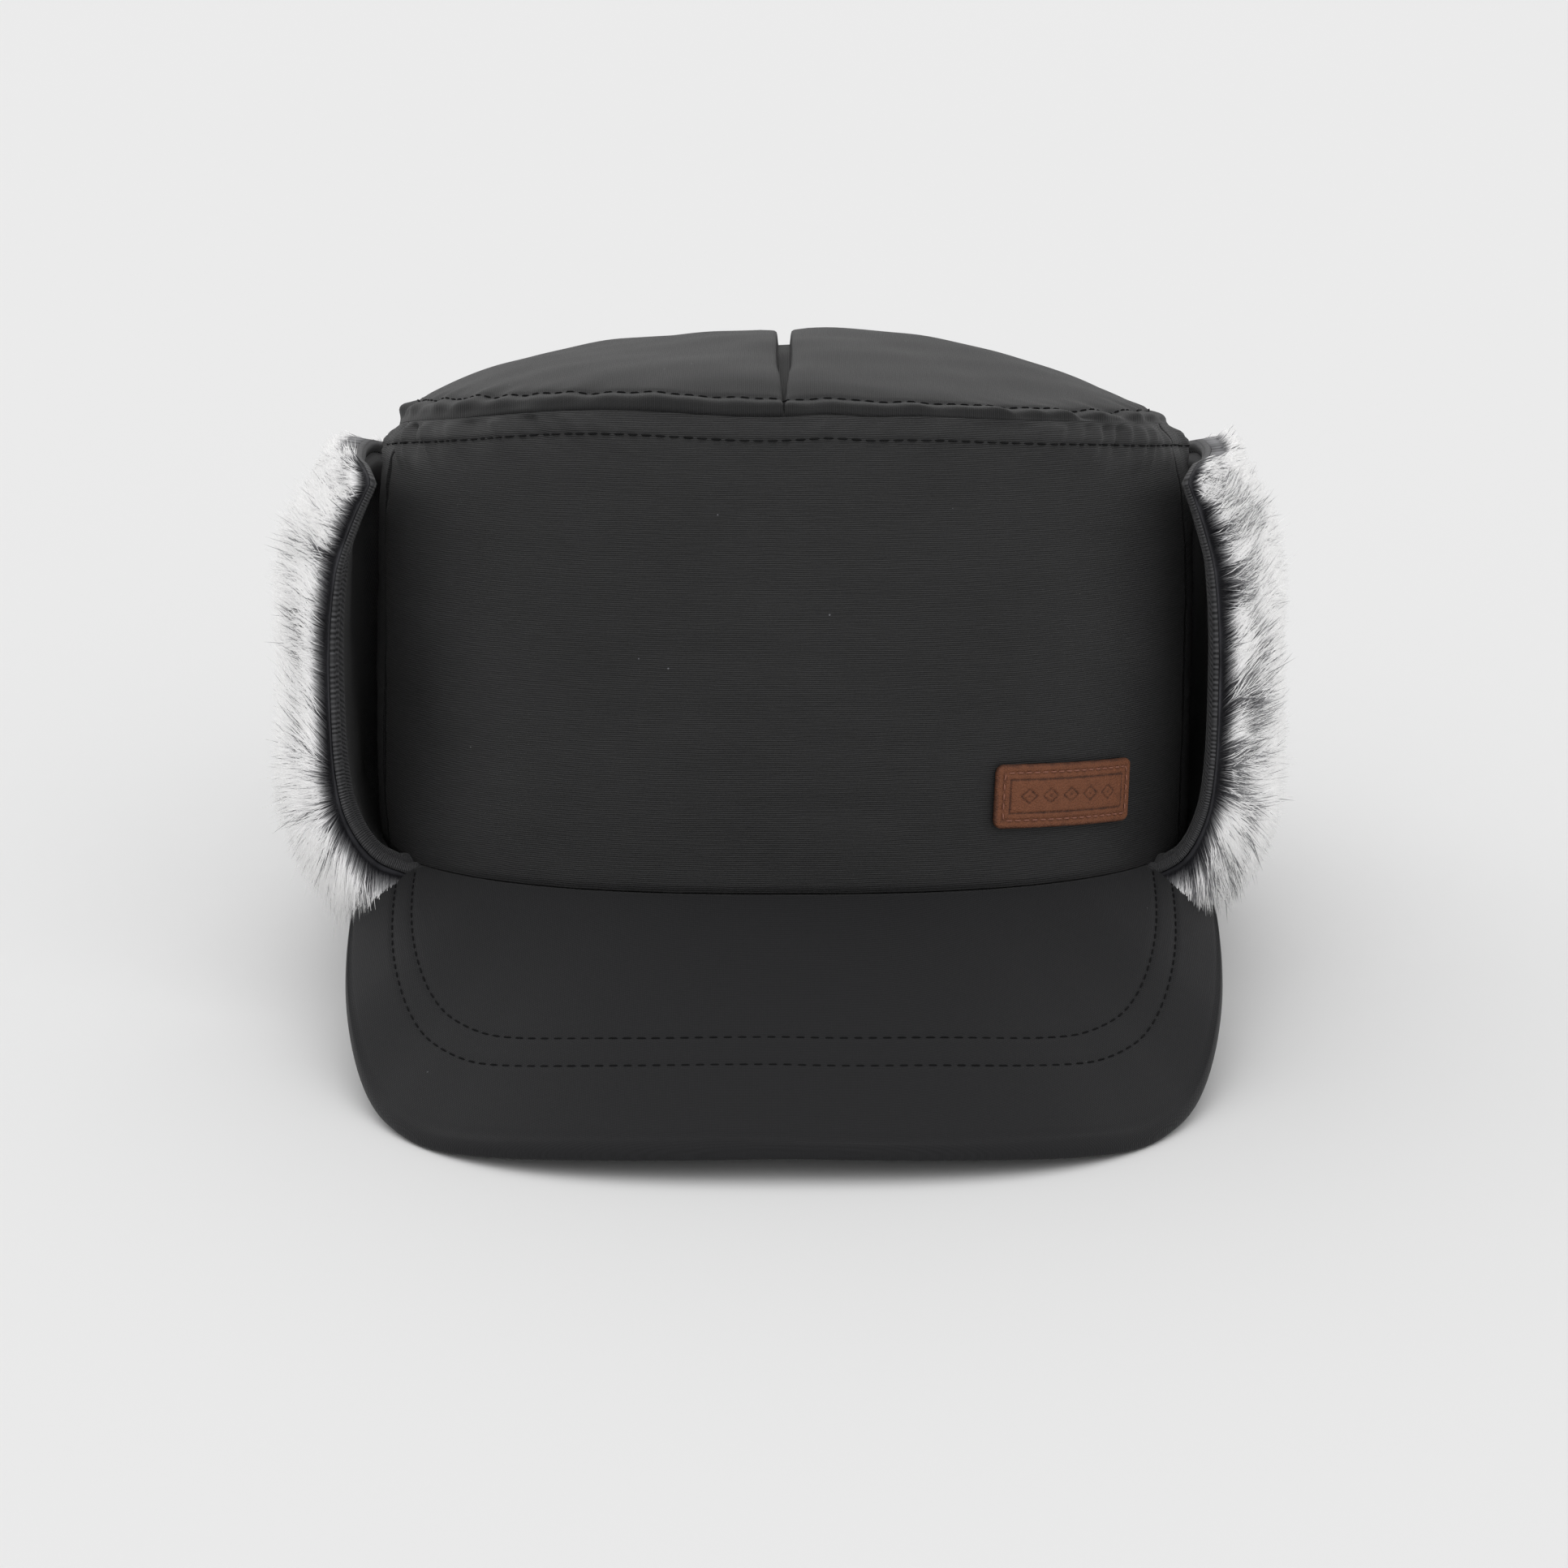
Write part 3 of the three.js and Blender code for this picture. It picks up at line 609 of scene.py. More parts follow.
@dataclass
class Finishes:
    """All materials of the cap."""

    shell: bpy.types.Material = field(init=False)
    top: bpy.types.Material = field(init=False)
    peak: bpy.types.Material = field(init=False)
    twill: bpy.types.Material = field(init=False)
    fur: bpy.types.Material = field(init=False)
    leather: bpy.types.Material = field(init=False)
    thread: bpy.types.Material = field(init=False)
    label_thread: bpy.types.Material = field(init=False)

    def __post_init__(self) -> None:
        """Builds each finish once."""
        self.shell = Cloth("shell_cloth", (0.0018, 0.0018, 0.0019), (0.037, 0.037, 0.038),
                           sheen=0.06).material()
        # The top is the wall's cloth, but its pale colour is about half the wall's: painted shade that tones
        # down the light falling on the top.
        self.top = Cloth("shell_cloth_top", (0.003, 0.003, 0.0032), (0.019, 0.019, 0.0197),
                         rib_way=(1.0, 0.0), sheen=0.07, shade=0.92).material()
        self.peak = Cloth("peak_cloth", (0.0045, 0.0045, 0.0052), (0.0125, 0.0125, 0.0142), rib=0.36,
                          rib_depth=0.03, rib_contrast=0.2, cross=1.0, roughness=0.7, sheen=0.1,
                          lint=0.6).material()
        # The twill's colours are much paler than the crown cloth's: painted light that brightens the flap's
        # inner face, which faces the crown and lies in shade.
        self.twill = Cloth("flap_twill", (0.013, 0.013, 0.014), (0.105, 0.105, 0.11), rib=0.6,
                           rib_depth=0.09, rib_way=(0.5, 0.87), lint=0.5, sheen=0.12).material()
        self.fur = Fur("faux_fur").material()
        self.leather = Leather("label_leather").material()
        self.thread = Thread("black_thread", (0.004, 0.004, 0.0045)).material()
        self.label_thread = Thread("label_thread", (0.36, 0.16, 0.11)).material()


# Sewing

@dataclass(frozen=True)
class Stitches:
    """A run of lock stitches, each a short thread that dips in at both ends."""

    length: float = 2.3
    pitch: float = 2.9
    radius: float = 0.2
    sides: int = 5

    def along(self, path: np.ndarray, normals: np.ndarray) -> tuple[np.ndarray, np.ndarray]:
        """Stitches laid at even steps of arc length along a path.

        Each stitch is a tube round an arc: its radius is r at the middle and 0.35 r at the ends, and
        its middle stands r proud of the surface while its ends sink below it.

        Args:
            path: points in the cap's own frame.
            normals: unit directions away from the surface at those points.

        Returns:
            Points and triangles.
        """
        run = np.r_[0, np.cumsum(np.linalg.norm(np.diff(path, axis=0), axis=1))]
        centres = np.arange(self.pitch / 2, run[-1], self.pitch)
        rows = np.array([(-0.5, 0.35, -0.9), (-0.26, 0.95, 0.35), (0.26, 0.95, 0.35), (0.5, 0.35, -0.9)])
        at = centres[:, None] + rows[None, :, 0] * self.length
        middle = np.stack([np.interp(at, run, path[:, k]) for k in range(3)], -1)
        up = unit(np.stack([np.interp(at, run, normals[:, k]) for k in range(3)], -1))
        way = unit(np.gradient(middle, axis=1))
        side = unit(np.cross(way, up))
        turn = np.arange(self.sides) * 2 * np.pi / self.sides
        ring = (np.cos(turn)[:, None] * side[:, :, None, :]
                + (np.sin(turn)[:, None] + rows[None, :, 2, None, None] / rows[None, :, 1, None, None])
                * up[:, :, None, :])
        points = middle[:, :, None, :] + ring * (rows[None, :, 1] * self.radius)[..., None, None]
        k, n = np.arange(self.sides), (np.arange(self.sides) + 1) % self.sides
        faces = []
        for r in range(len(rows) - 1):
            a, b = r * self.sides + k, r * self.sides + n
            faces += [np.stack([a, b, b + self.sides], 1), np.stack([a, b + self.sides, a + self.sides], 1)]
        corner = np.arange(1, self.sides - 1)
        fan = np.stack([np.zeros_like(corner), corner + 1, corner], 1)
        last = (len(rows) - 1) * self.sides
        one = np.concatenate([*faces, fan, fan[:, ::-1] + last])
        count = len(rows) * self.sides
        every = one[None] + (np.arange(len(centres)) * count)[:, None, None]
        return points.reshape(-1, 3), every.reshape(-1, 3)


def sewn(name: str, runs: list[tuple[np.ndarray, np.ndarray]], stitches: Stitches,
         place: Placement) -> bpy.types.Object:
    """One object of all stitches along several paths.

    Args:
        name: the object's name.
        runs: pairs of path and normals in the cap's own frame.
        stitches: the stitch's sizes.
        place: carries points into the frame.

    Returns:
        The new object.
    """
    all_points, all_faces, start = [], [], 0
    for path, normals in runs:
        points, faces = stitches.along(path, normals)
        all_points.append(points)
        all_faces.append(faces + start)
        start += len(points)
    points = place(np.concatenate(all_points))
    faces = np.concatenate(all_faces)
    first = faces[:stitches.sides * 6 + 2 * (stitches.sides - 2)]
    if not np.array_equal(outward(points[:first.max() + 1], first), first):
        faces = faces[:, ::-1]
    return make_object(name, points, faces)


# Sub-assemblies

@dataclass(frozen=True)
class CrownPanels:
    """The crown's wall, in two panels, and its domed top with the pleat.

    Lengths are in millimetres. The tables opening and depth give the pleat's width and depth as
    shares, from its front end at 0 to its back end at 1. Gathers are calm within the first of
    gather_angles and full beyond the second, in degrees from the front.
    """

    crown: Crown
    place: Placement
    seam_clearance: float = 0.02
    rise: float = 19.4
    full_left: float = 0.6
    full_right: float = 0.85
    pleat_open: float = 3.2
    pleat_closed: float = 0.4
    pleat_depth: float = 6.0
    pleat_share: float = 0.12
    mouth_roll: float = 0.5
    gather_angles: tuple[float, float] = (20.0, 32.0)
    wall_gathers: float = 0.85
    top_gathers: float = 0.75
    wall_groove: float = 0.32
    top_groove: float = 0.35
    top_stitch_inset: float = 4.6
    broad_wave: float = 0.5
    thread_lift: float = 0.1
    welt_share: float = 0.88
    opening: Table = ((0, 0), (0.03, 0), (0.06, 0.14), (0.11, 0.38), (0.2, 0.85), (0.34, 1),
                      (0.6, 0.95), (0.82, 0.5), (0.95, 0.06), (0.98, 0), (1, 0))
    depth: Table = ((0, 0), (0.02, 0.6), (0.045, 1), (0.1, 0.9), (0.2, 0.7), (0.4, 0.5),
                    (0.6, 0.6), (0.82, 0.9), (0.95, 0.9), (0.98, 0.5), (1, 0))

    def relief(self, angle: np.ndarray, share: np.ndarray) -> np.ndarray:
        """Small outward relief of the wall.

        It is the sum of the stitch's groove, gathers that slant along the welt and fade below it,
        broad and tight waves, and a hem that is drawn in. All but the hem fade at the seam.

        Args:
            angle: angles from the front, in radians.
            share: shares of the seam's height.

        Returns:
            Distances out from the crown's wall.
        """
        c = self.crown
        height = c.seam_height(angle) * share
        below = c.seam_height(angle) - height
        along = angle * c.half_width
        turned = c.turned(angle)
        groove = -self.wall_groove * bell(below - c.welt_height, 0.55)
        strength = 0.3 + 0.7 * smooth(*self.gather_angles, np.abs(turned))
        slant = along + 1.1 * below * np.sign(turned)
        gathers = ripple(slant, below * 0.2, 7.0, 5) * self.wall_gathers * strength
        gathers = gathers * smooth(c.welt_height + 7, c.welt_height - 1.5, below)
        calm = smooth(0, 14, height) * smooth(0, 12, below)
        broad = self.broad_wave * ripple(along, height, 70.0, 11) * calm
        tight = 0.1 * ripple(along * 0.5, height * 2, 16.0, 12) * smooth(0, 8, height)
        hem = -0.35 * bell(height, 1.6)
        return (groove + gathers + broad + tight) * smooth(0, 1.4, below) + hem

    def wall(self, name: str, first: float, last: float, columns: int, rows: int) -> bpy.types.Object:
        """One panel of the wall: the crown's surface plus its relief, with closer rows at the welt.

        Args:
            name: the object's name.
            first: angle of its first end from the front, in degrees.
            last: angle of its last end.
            columns: columns of the grid.
            rows: rows of the grid.

        Returns:
            The new object.
        """
        angle = np.radians(np.linspace(first, last, columns))[:, None]
        low = np.linspace(0, self.welt_share, rows * 2 // 3)
        high = np.linspace(self.welt_share, 1, rows - len(low) + 1)[1:]
        angle, share = np.broadcast_arrays(angle, np.r_[low, high][None, :])
        outer = self.crown.wall_point(angle, share, self.relief(angle, share))
        inner = self.crown.wall_point(angle, share, -self.crown.wall)
        uv = np.stack([angle * self.crown.half_width, outer[..., 2]], -1)
        return make_shell(name, outer, inner, self.place, uv)

    def pleat_edge(self, along: np.ndarray, inwards: float) -> np.ndarray:
        """Where the pleat's side lies on the top.

        Args:
            along: places from the front, -1, to the back, 1.
            inwards: depth below the top's surface.

        Returns:
            Shares of the top's half width there.
        """
        width = through(self.opening, (along + 1) / 2)
        width = self.pleat_closed + (self.pleat_open - self.pleat_closed) * width
        return (width / 2 + inwards) / (self.crown.half_width * np.sqrt(1 - along * along / 2))

    def top_lift(self, angle: np.ndarray, from_rim: np.ndarray, plan: np.ndarray) -> np.ndarray:
        """Small relief of the top: gathers that fade inwards, a roll and a groove at the rim, waves.

        Args:
            angle: angles from the front, in radians.
            from_rim: distances from the rim.
            plan: level places, for the waves.

        Returns:
            Heights above the dome.
        """
        c = self.crown
        strength = 0.4 + 0.6 * smooth(*self.gather_angles, np.abs(np.degrees(angle)))
        gathers = ripple(angle * c.half_width, from_rim * 0.4, 8.0, 21) * self.top_gathers * strength
        gathers = gathers * bell(from_rim - 1.5, 6) * smooth(0, 1.5, from_rim)
        roll = 0.75 * bell(from_rim - 1.9, 1.3)
        roll = roll - self.top_groove * bell(from_rim - self.top_stitch_inset, 0.7)
        x, y = plan[..., 0], plan[..., 1]
        broad = self.broad_wave * ripple(x, y, 60.0, 23) * smooth(0, 14, from_rim)
        broad = broad + 0.12 * ripple(x, y, 17.0, 24) * smooth(0, 8, from_rim)
        return gathers + roll * smooth(0, 1.2, from_rim) + broad

    def top_point(self, across: np.ndarray, along: np.ndarray, inwards: float) -> np.ndarray:
        """Points of the domed top.

        A square is laid on a disc by u = a sqrt(1 - b^2 / 2), v = b sqrt(1 - a^2 / 2), and the disc on
        the crown's outline. The dome stands (1 - r^2)^f of its rise above the seam, puffs near its
        rim, and is sunk inside the pleat, whose mouth is rounded off.

        Args:
            across: places on the square from side to side, -1 to 1.
            along: places on the square from front to back, -1 to 1.
            inwards: depth below the top's surface.

        Returns:
            Points in the cap's own frame.
        """
        c, pleat = self.crown, self.pleat_share
        edge = self.pleat_edge(along, inwards)
        size = np.abs(across)
        spread = np.where(size < pleat, size / pleat * edge,
                          edge + (size - pleat) / (1 - pleat) * (1 - edge))
        u = np.sign(across) * spread * np.sqrt(1 - along * along / 2)
        v = along * np.sqrt(1 - spread * spread / 2)
        r = np.minimum(1, np.hypot(u, v))
        angle = np.where(r > 1e-9, np.arctan2(u, -v), 0)
        rim = c.around(angle, c.welt_raise - c.seam_inset(angle) - inwards, 0)
        plan = rim[..., :2] * r[..., None]
        full = self.full_left + (self.full_right - self.full_left) * smooth(-0.3, 0.9, u)
        dome = (self.rise - inwards) * (1 - r * r) ** full
        middle = (c.front_height + c.back_height) / 2
        base = middle + (c.seam_height(angle) - middle) * r**3
        from_rim = (1 - r) * c.half_width
        lift = np.zeros_like(r) if inwards > 0 else self.top_lift(angle, from_rim, plan)
        slope = np.clip(1 - from_rim / 12, 0, 1)
        plan = plan + c.away(angle) * (lift * slope * 0.8)[..., None]
        sides = smooth(pleat * 1.06, pleat * 0.78, size)
        depth = through(self.depth, (along + 1) / 2)
        sunk = self.pleat_depth * depth * sides + self.mouth_roll * bell(size - pleat, 0.02) * depth
        z = base + dome + self.seam_clearance - sunk + lift * (1 - 0.4 * slope)
        return np.concatenate([plan, z[..., None]], -1)

    def top(self, columns: int, rows: int) -> bpy.types.Object:
        """Domed top, with closer columns at the pleat and closer rows at the rim.

        Args:
            columns: columns of the grid, about.
            rows: rows of the grid.

        Returns:
            The new object, whose attribute tone is the shade inside the pleat.
        """
        near = self.pleat_share * np.linspace(0, 1.12, columns // 6)
        far = np.linspace(0, 1, columns // 2 - len(near) + 1)[1:]
        half = np.r_[near, near[-1] + (1 - near[-1]) * np.sin(far * np.pi / 2)]
        even = np.linspace(-1, 1, rows)
        along = 0.55 * np.sin(even * np.pi / 2) + 0.45 * even
        a, b = np.meshgrid(np.r_[-half[::-1][:-1], half], along, indexing="ij")
        outer = self.top_point(a, b, 0.0)
        inner = self.top_point(a, b, self.crown.wall)
        # Painted shade inside the pleat, scaled by the pleat's depth and kept as the attribute tone.
        inside = smooth(self.pleat_share + 0.005, self.pleat_share - 0.035, np.abs(a))
        shade = inside * through(self.depth, (b + 1) / 2)
        return make_shell("top_panel_cloth", outer, inner, self.place, outer[..., :2], tone=shade)

    def seams(self) -> list[tuple[np.ndarray, np.ndarray]]:
        """Paths of the two topstitched rows, below and above the top seam.

        The upper row is a circle on the disc. Its places on the square are found by going back and
        forth between the two formulas that lay the square on the disc.

        Returns:
            Pairs of path and normals.
        """
        c = self.crown
        angle = np.radians(np.linspace(-179, 179, 900))
        share = 1 - c.welt_height / c.seam_height(angle)
        low = c.wall_point(angle, share, self.relief(angle, share) + self.thread_lift)
        away = np.concatenate([c.away(angle), np.zeros((len(angle), 1))], -1)
        r = 1 - self.top_stitch_inset / c.half_width
        u, v = r * np.sin(angle), -r * np.cos(angle)
        along = np.clip(v * np.sqrt(1 / (1 - u * u / 2)), -1, 1)
        spread = u / np.sqrt(1 - along * along / 2)
        for _ in range(12):
            along = np.clip(v / np.sqrt(1 - spread * spread / 2), -1, 1)
            spread = np.clip(u / np.sqrt(1 - along * along / 2), -1, 1)
        edge, size, pleat = self.pleat_edge(along, 0.0), np.abs(spread), self.pleat_share
        across = np.where(size < edge, size / edge * pleat, pleat + (size - edge) / (1 - edge) * (1 - pleat))
        high = self.top_point(np.sign(spread) * across, along, 0.0)
        inner = self.top_point(np.sign(spread) * np.clip(across - 0.01, 0, 1), along * 0.99, 0.0)
        up = unit(np.cross(unit(np.gradient(high, axis=0)), unit(high - inner)))
        up = np.where((up[:, 2] < 0)[:, None], -up, up)
        return [(low, away), (high + self.thread_lift * up, up)]


@dataclass(frozen=True)
class Peak:
    """Stiff peak: a ruled surface from the hem to a squared outer edge, with a rounded rim.

    Lengths are in millimetres and angles in degrees. The table drops gives the outer edge's drop as
    shares, from its middle at 0 to its ends at 1. Each stitch row has its distances from the front
    edge and from the side edge.
    """

    crown: Crown
    half_width: float = 92.5
    length: float = 60.0
    setback: float = 38.0
    squareness: float = 3.0
    drop: float = 42.0
    thick: float = 3.2
    camber: float = 1.5
    flap_start: float = 51.8
    flap_gap: float = 0.6
    sweep: float = 96.0
    rim_share: float = 0.02
    fold_inset: float = 2.6
    fold_depth: float = 0.22
    groove_depth: float = 0.3
    stitch_rows: tuple[tuple[float, float], ...] = ((18.0, 9.6), (24.2, 13.6))
    drops: Table = ((0, 0.95), (0.22, 0.97), (0.42, 1), (0.52, 0.93), (0.7, 0.56), (0.87, 0.27),
                    (1, 0.12))

    @property
    def start(self) -> float:
        """Angle of the peak's ends from the front, in degrees."""
        return self.flap_start - self.flap_gap

    def edge(self, along: np.ndarray) -> np.ndarray:
        """Outer edge: a superellipse round a point behind the hem, lower at its corners.

        Args:
            along: places from end to end, -1 to 1.

        Returns:
            Points in the cap's own frame.
        """
        angle = along * np.radians(self.sweep)
        depth = self.length + self.setback
        across = np.abs(np.sin(angle) / self.half_width) ** self.squareness
        ahead = np.abs(np.cos(angle) / depth) ** self.squareness
        radius = (across + ahead) ** (-1 / self.squareness)
        middle = self.setback - self.crown.front_depth
        drop = self.drop * through(self.drops, np.abs(along))
        return np.stack([radius * np.sin(angle), middle - radius * np.cos(angle), -drop], -1)

    def upper(self, along: np.ndarray, out: np.ndarray) -> np.ndarray:
        """Upper surface: the straight line from hem to edge, plus a camber of 4 t (1 - t).

        Args:
            along: places from end to end, -1 to 1.
            out: shares of the way from the hem to the edge.

        Returns:
            Points in the cap's own frame.
        """
        hem = self.crown.around(along * np.radians(self.start), np.zeros_like(along), -self.crown.gap)
        point = hem + (self.edge(along) - hem) * out[..., None]
        point[..., 2] += self.camber * 4 * out * (1 - out) * (1 - along * along)
        return point

    def outline_points(self) -> np.ndarray:
        """Lower edge of the solid peak, which the cap rests on."""
        along = np.linspace(-1, 1, 31)
        taper = 0.012
        low = self.upper(along, np.ones_like(along))
        inner = self.upper(along, np.full_like(along, 1 - taper))
        inner[..., 2] -= self.thick
        return np.concatenate([low, inner])

    def within(self, x: np.ndarray, y: np.ndarray, inset: tuple[float, float]) -> np.ndarray:
        """Size of a point against the edge drawn in from front and side: (|x/a|^n + |y/b|^n)^(1/n)."""
        a, b = self.half_width - inset[1], self.length + self.setback - inset[0]
        ahead = np.abs((y - self.setback + self.crown.front_depth) / b) ** self.squareness
        return (np.abs(x / a) ** self.squareness + ahead) ** (1 / self.squareness)

    def relief(self, x: np.ndarray, y: np.ndarray, out: np.ndarray) -> np.ndarray:
        """Height of soft waves, of the fold line near the rim and of the grooves that the stitches pull.

        Args:
            x: places across.
            y: places along.
            out: shares of the way from the hem to the edge.

        Returns:
            Heights above the ruled surface.
        """
        wave = 0.16 * ripple(x, y, 55.0, 31) * smooth(0.05, 0.3, out)
        fold = -self.fold_depth * bell((1 - out) * self.length - self.fold_inset, 0.6)
        apart = [(self.within(x, y, inset) - 1) * self.half_width for inset in self.stitch_rows]
        grooves = sum(-self.groove_depth * bell(distance, 0.6) for distance in apart)
        return wave + fold + grooves

    def make(self, place: Placement, columns: int, rows: int) -> bpy.types.Object:
        """Closed body: upper surface, a half-round rim, and the lower surface back to the hem.

        Args:
            place: carries points into the frame.
            columns: columns from end to end.
            rows: rows of each surface from the hem to the rim.

        Returns:
            The new object.
        """
        c = self.crown
        rim_start = 1 - self.rim_share
        along = np.linspace(-1, 1, columns)
        a, o = np.meshgrid(along, np.linspace(0, rim_start, rows), indexing="ij")
        top = self.upper(a, o)
        top[..., 2] += self.relief(top[..., 0], top[..., 1], o)
        inside = self.upper(along, np.full(columns, rim_start))
        way = self.edge(along) - inside
        turn = np.linspace(0, np.pi, 13)[1:-1]
        down = np.array([0.0, 0.0, -self.thick / 2])
        loop = (inside[:, None, :] + down * (1 - np.cos(turn))[None, :, None]
                + way[:, None, :] * np.sin(turn)[None, :, None])
        low = self.upper(a, o)
        low[..., 2] -= self.thick
        back = c.around(a[:, :1] * np.radians(self.start), np.full_like(a[:, :1], -c.wall), -c.gap)
        back_low = back.copy()
        back_low[..., 2] -= self.thick
        return self.close(np.concatenate([back, top, loop, low[:, ::-1], back_low], 1), place)

    def close(self, ring: np.ndarray, place: Placement) -> bpy.types.Object:
        """Body of loops carried from end to end, with each end closed by a strip of quads.

        Args:
            ring: loops of points, one for each column.
            place: carries points into the frame.

        Returns:
            The new object.
        """
        columns, rows = ring.shape[:2]
        points = place(ring)
        points[..., 2] = np.maximum(points[..., 2], 0)
        i, j = np.meshgrid(np.arange(columns - 1), np.arange(rows), indexing="ij")
        n = (j + 1) % rows
        sides = np.stack([x.ravel() for x in (i * rows + j, (i + 1) * rows + j,
                                              (i + 1) * rows + n, i * rows + n)], 1)
        k = np.arange(rows // 2 - 1)
        cap_first = np.stack([k, k + 1, rows - 2 - k, rows - 1 - k], 1)
        cap_last = cap_first[:, ::-1] + (columns - 1) * rows
        faces = outward(points, np.concatenate([sides, cap_first, cap_last]))
        return make_object("peak_cloth_cover", points, faces, ring[..., :2] * UV_SCALE)

    def row(self, inset: tuple[float, float]) -> tuple[np.ndarray, np.ndarray]:
        """Path of a stitch row: where each ruled line meets a smaller superellipse.

        Args:
            inset: distances from the front edge and from the side edge, in millimetres.

        Returns:
            Points on the upper surface and their normals.
        """
        along = np.linspace(-0.97, 0.97, 700)
        low, high = np.zeros_like(along), np.ones_like(along)
        for _ in range(40):
            half = (low + high) / 2
            p = self.upper(along, half)
            inside = self.within(p[:, 0], p[:, 1], inset) < 1
            low, high = np.where(inside, half, low), np.where(inside, high, half)
        hem_margin = 0.02
        keep = low > hem_margin
        along, low = along[keep], low[keep]
        path = self.upper(along, low)
        normal = unit(np.cross(self.upper(along + 0.004, low) - path, self.upper(along, low + 0.01) - path))
        normal = np.where((normal[:, 2] < 0)[:, None], -normal, normal)
        thread_lift = 0.05
        path = path + normal * thread_lift
        path[:, 2] += self.relief(path[:, 0], path[:, 1], low)
        return path, normal


class Stand(Enum):
    """Where hairs stand on the flap."""

    ROUND = "all the way round"
    ENDS = "near the two front ends"


@dataclass(frozen=True)
class EarFlap:
    """Ear flap folded up from the hem: its cloth wall, and the fur on the side that faces out.

    Lengths are in millimetres and angles in degrees. The rows of section hold the way out and the
    height of the wall as shares. Those of fur_section hold the shares of the flap's reach, of the
    fur's depth, of the flap's height and of the belly below the hem. The table comb gives how far
    the hair leans up, and backing the place on the wall behind it, from the fur's lower edge at 0
    to its top at 1.
    """

    crown: Crown
    place: Placement
    start: float = 51.8
    side_height: float = 85.5
    back_height: float = 74.0
    rise_angles: tuple[float, float] = (38.0, 88.0)
    thick: float = 1.8
    stand_off: float = 7.0
    flare_left: float = 12.0
    flare_right: float = 7.5
    flare_length: float = 38.0
    flare_power: float = 1.6
    corner_drop: float = 4.0
    corner_length: float = 7.0
    stitch_inset: float = 2.6
    section_length: float = 88.0
    backing_clearance: float = 0.03
    fur_depth: float = 12.5
    belly: float = 10.0
    end_length: float = 16.0
    clump_size: float = 4.2
    clump_pull: float = 0.4
    hair_lengths: tuple[float, float] = (9.0, 14.5)
    comb: Table = ((0, -0.3), (0.2, -0.5), (0.32, -0.9), (0.4, -0.6), (0.47, 0.1), (0.56, 0.85),
                   (0.75, 0.95), (0.9, 0.6), (1, 0.2))
    backing: Table = ((0, 0.03), (0.2, 0.16), (0.4, 0.36), (0.6, 0.6), (0.8, 0.84), (1, 1))
    section: Table = ((0.12, 0), (0.45, 0.035), (0.74, 0.11), (0.9, 0.2), (0.98, 0.35), (1, 0.55),
                      (0.92, 0.76), (0.72, 0.89), (0.48, 1))
    fur_section: tuple[tuple[float, float, float, float], ...] = (
        (0, -0.1, 0, 0.5), (0.3, 0.1, 0, 0.92), (0.55, 0.32, 0, 1), (0.85, 0.62, 0, 0.7),
        (1, 0.82, 0.03, 0), (1, 1.02, 0.2, 0), (1, 1.06, 0.42, 0), (1, 0.98, 0.62, 0),
        (0.98, 0.78, 0.8, 0), (0.85, 0.52, 0.92, 0), (0.6, 0.34, 1.01, 0))

    @property
    def end(self) -> float:
        """Angle from the back to each front end, in radians."""
        return np.pi - np.radians(self.start)

    def from_end(self, angle: np.ndarray) -> np.ndarray:
        """Distance along the hem from the nearer front end."""
        return np.maximum(0, (self.end - np.abs(angle)) * self.crown.half_width)

    def height(self, angle: np.ndarray) -> np.ndarray:
        """Height of the top edge: higher at the sides, with a rounded front corner."""
        rise = smooth(*np.radians(self.rise_angles), np.abs(angle))
        corner = 1 - np.sqrt(np.minimum(1, self.from_end(angle) / self.corner_length))
        level = self.back_height + (self.side_height - self.back_height) * rise
        return level - self.corner_drop * corner

    def reach(self, angle: np.ndarray) -> np.ndarray:
        """Distance from the crown, wider towards the front ends."""
        flare = np.maximum(0, 1 - self.from_end(angle) / self.flare_length) ** self.flare_power
        return self.stand_off + np.where(angle > 0, self.flare_right, self.flare_left) * flare

    def line(self, angle: np.ndarray, t: np.ndarray) -> tuple[np.ndarray, np.ndarray]:
        """Middle line of the wall's section: straight out under the hem, then through its rows.

        Args:
            angle: angles from the back, in radians.
            t: shares of the section's length.

        Returns:
            Distances out from the crown, and heights.
        """
        wall = self.crown.wall
        root = self.crown.gap + self.thick / 2
        keys = np.linspace(0, 1, len(self.section) + 1)[1:]
        out_share, up_share = (through(list(zip(keys, column)), t) for column in zip(*self.section))
        reach, height = self.reach(angle), self.height(angle)
        first = np.clip(t / keys[0], 0, 1)
        under = -wall + (self.section[0][0] * reach + wall) * first
        out = np.where(t < keys[0], under, out_share * reach)
        up = np.where(t < keys[0], 0, up_share) * (height + root) - root
        return out, up

    def wall_point(self, angle: np.ndarray, t: np.ndarray, aside: np.ndarray) -> np.ndarray:
        """Points beside the wall's middle line, along the normal of its section.

        Args:
            angle: angles from the back, in radians.
            t: shares of the section's length.
            aside: distances from the middle line, positive on the fur's side.

        Returns:
            Points in the cap's own frame.
        """
        out, up = self.line(angle, t)
        step = 0.01
        out2, up2 = self.line(angle, np.minimum(1, t + step))
        out1, up1 = self.line(angle, np.maximum(0, t - step))
        run = unit(np.stack([out2 - out1, up2 - up1], -1))
        return self.crown.around(np.pi - angle, out + run[..., 1] * aside, up - run[..., 0] * aside)

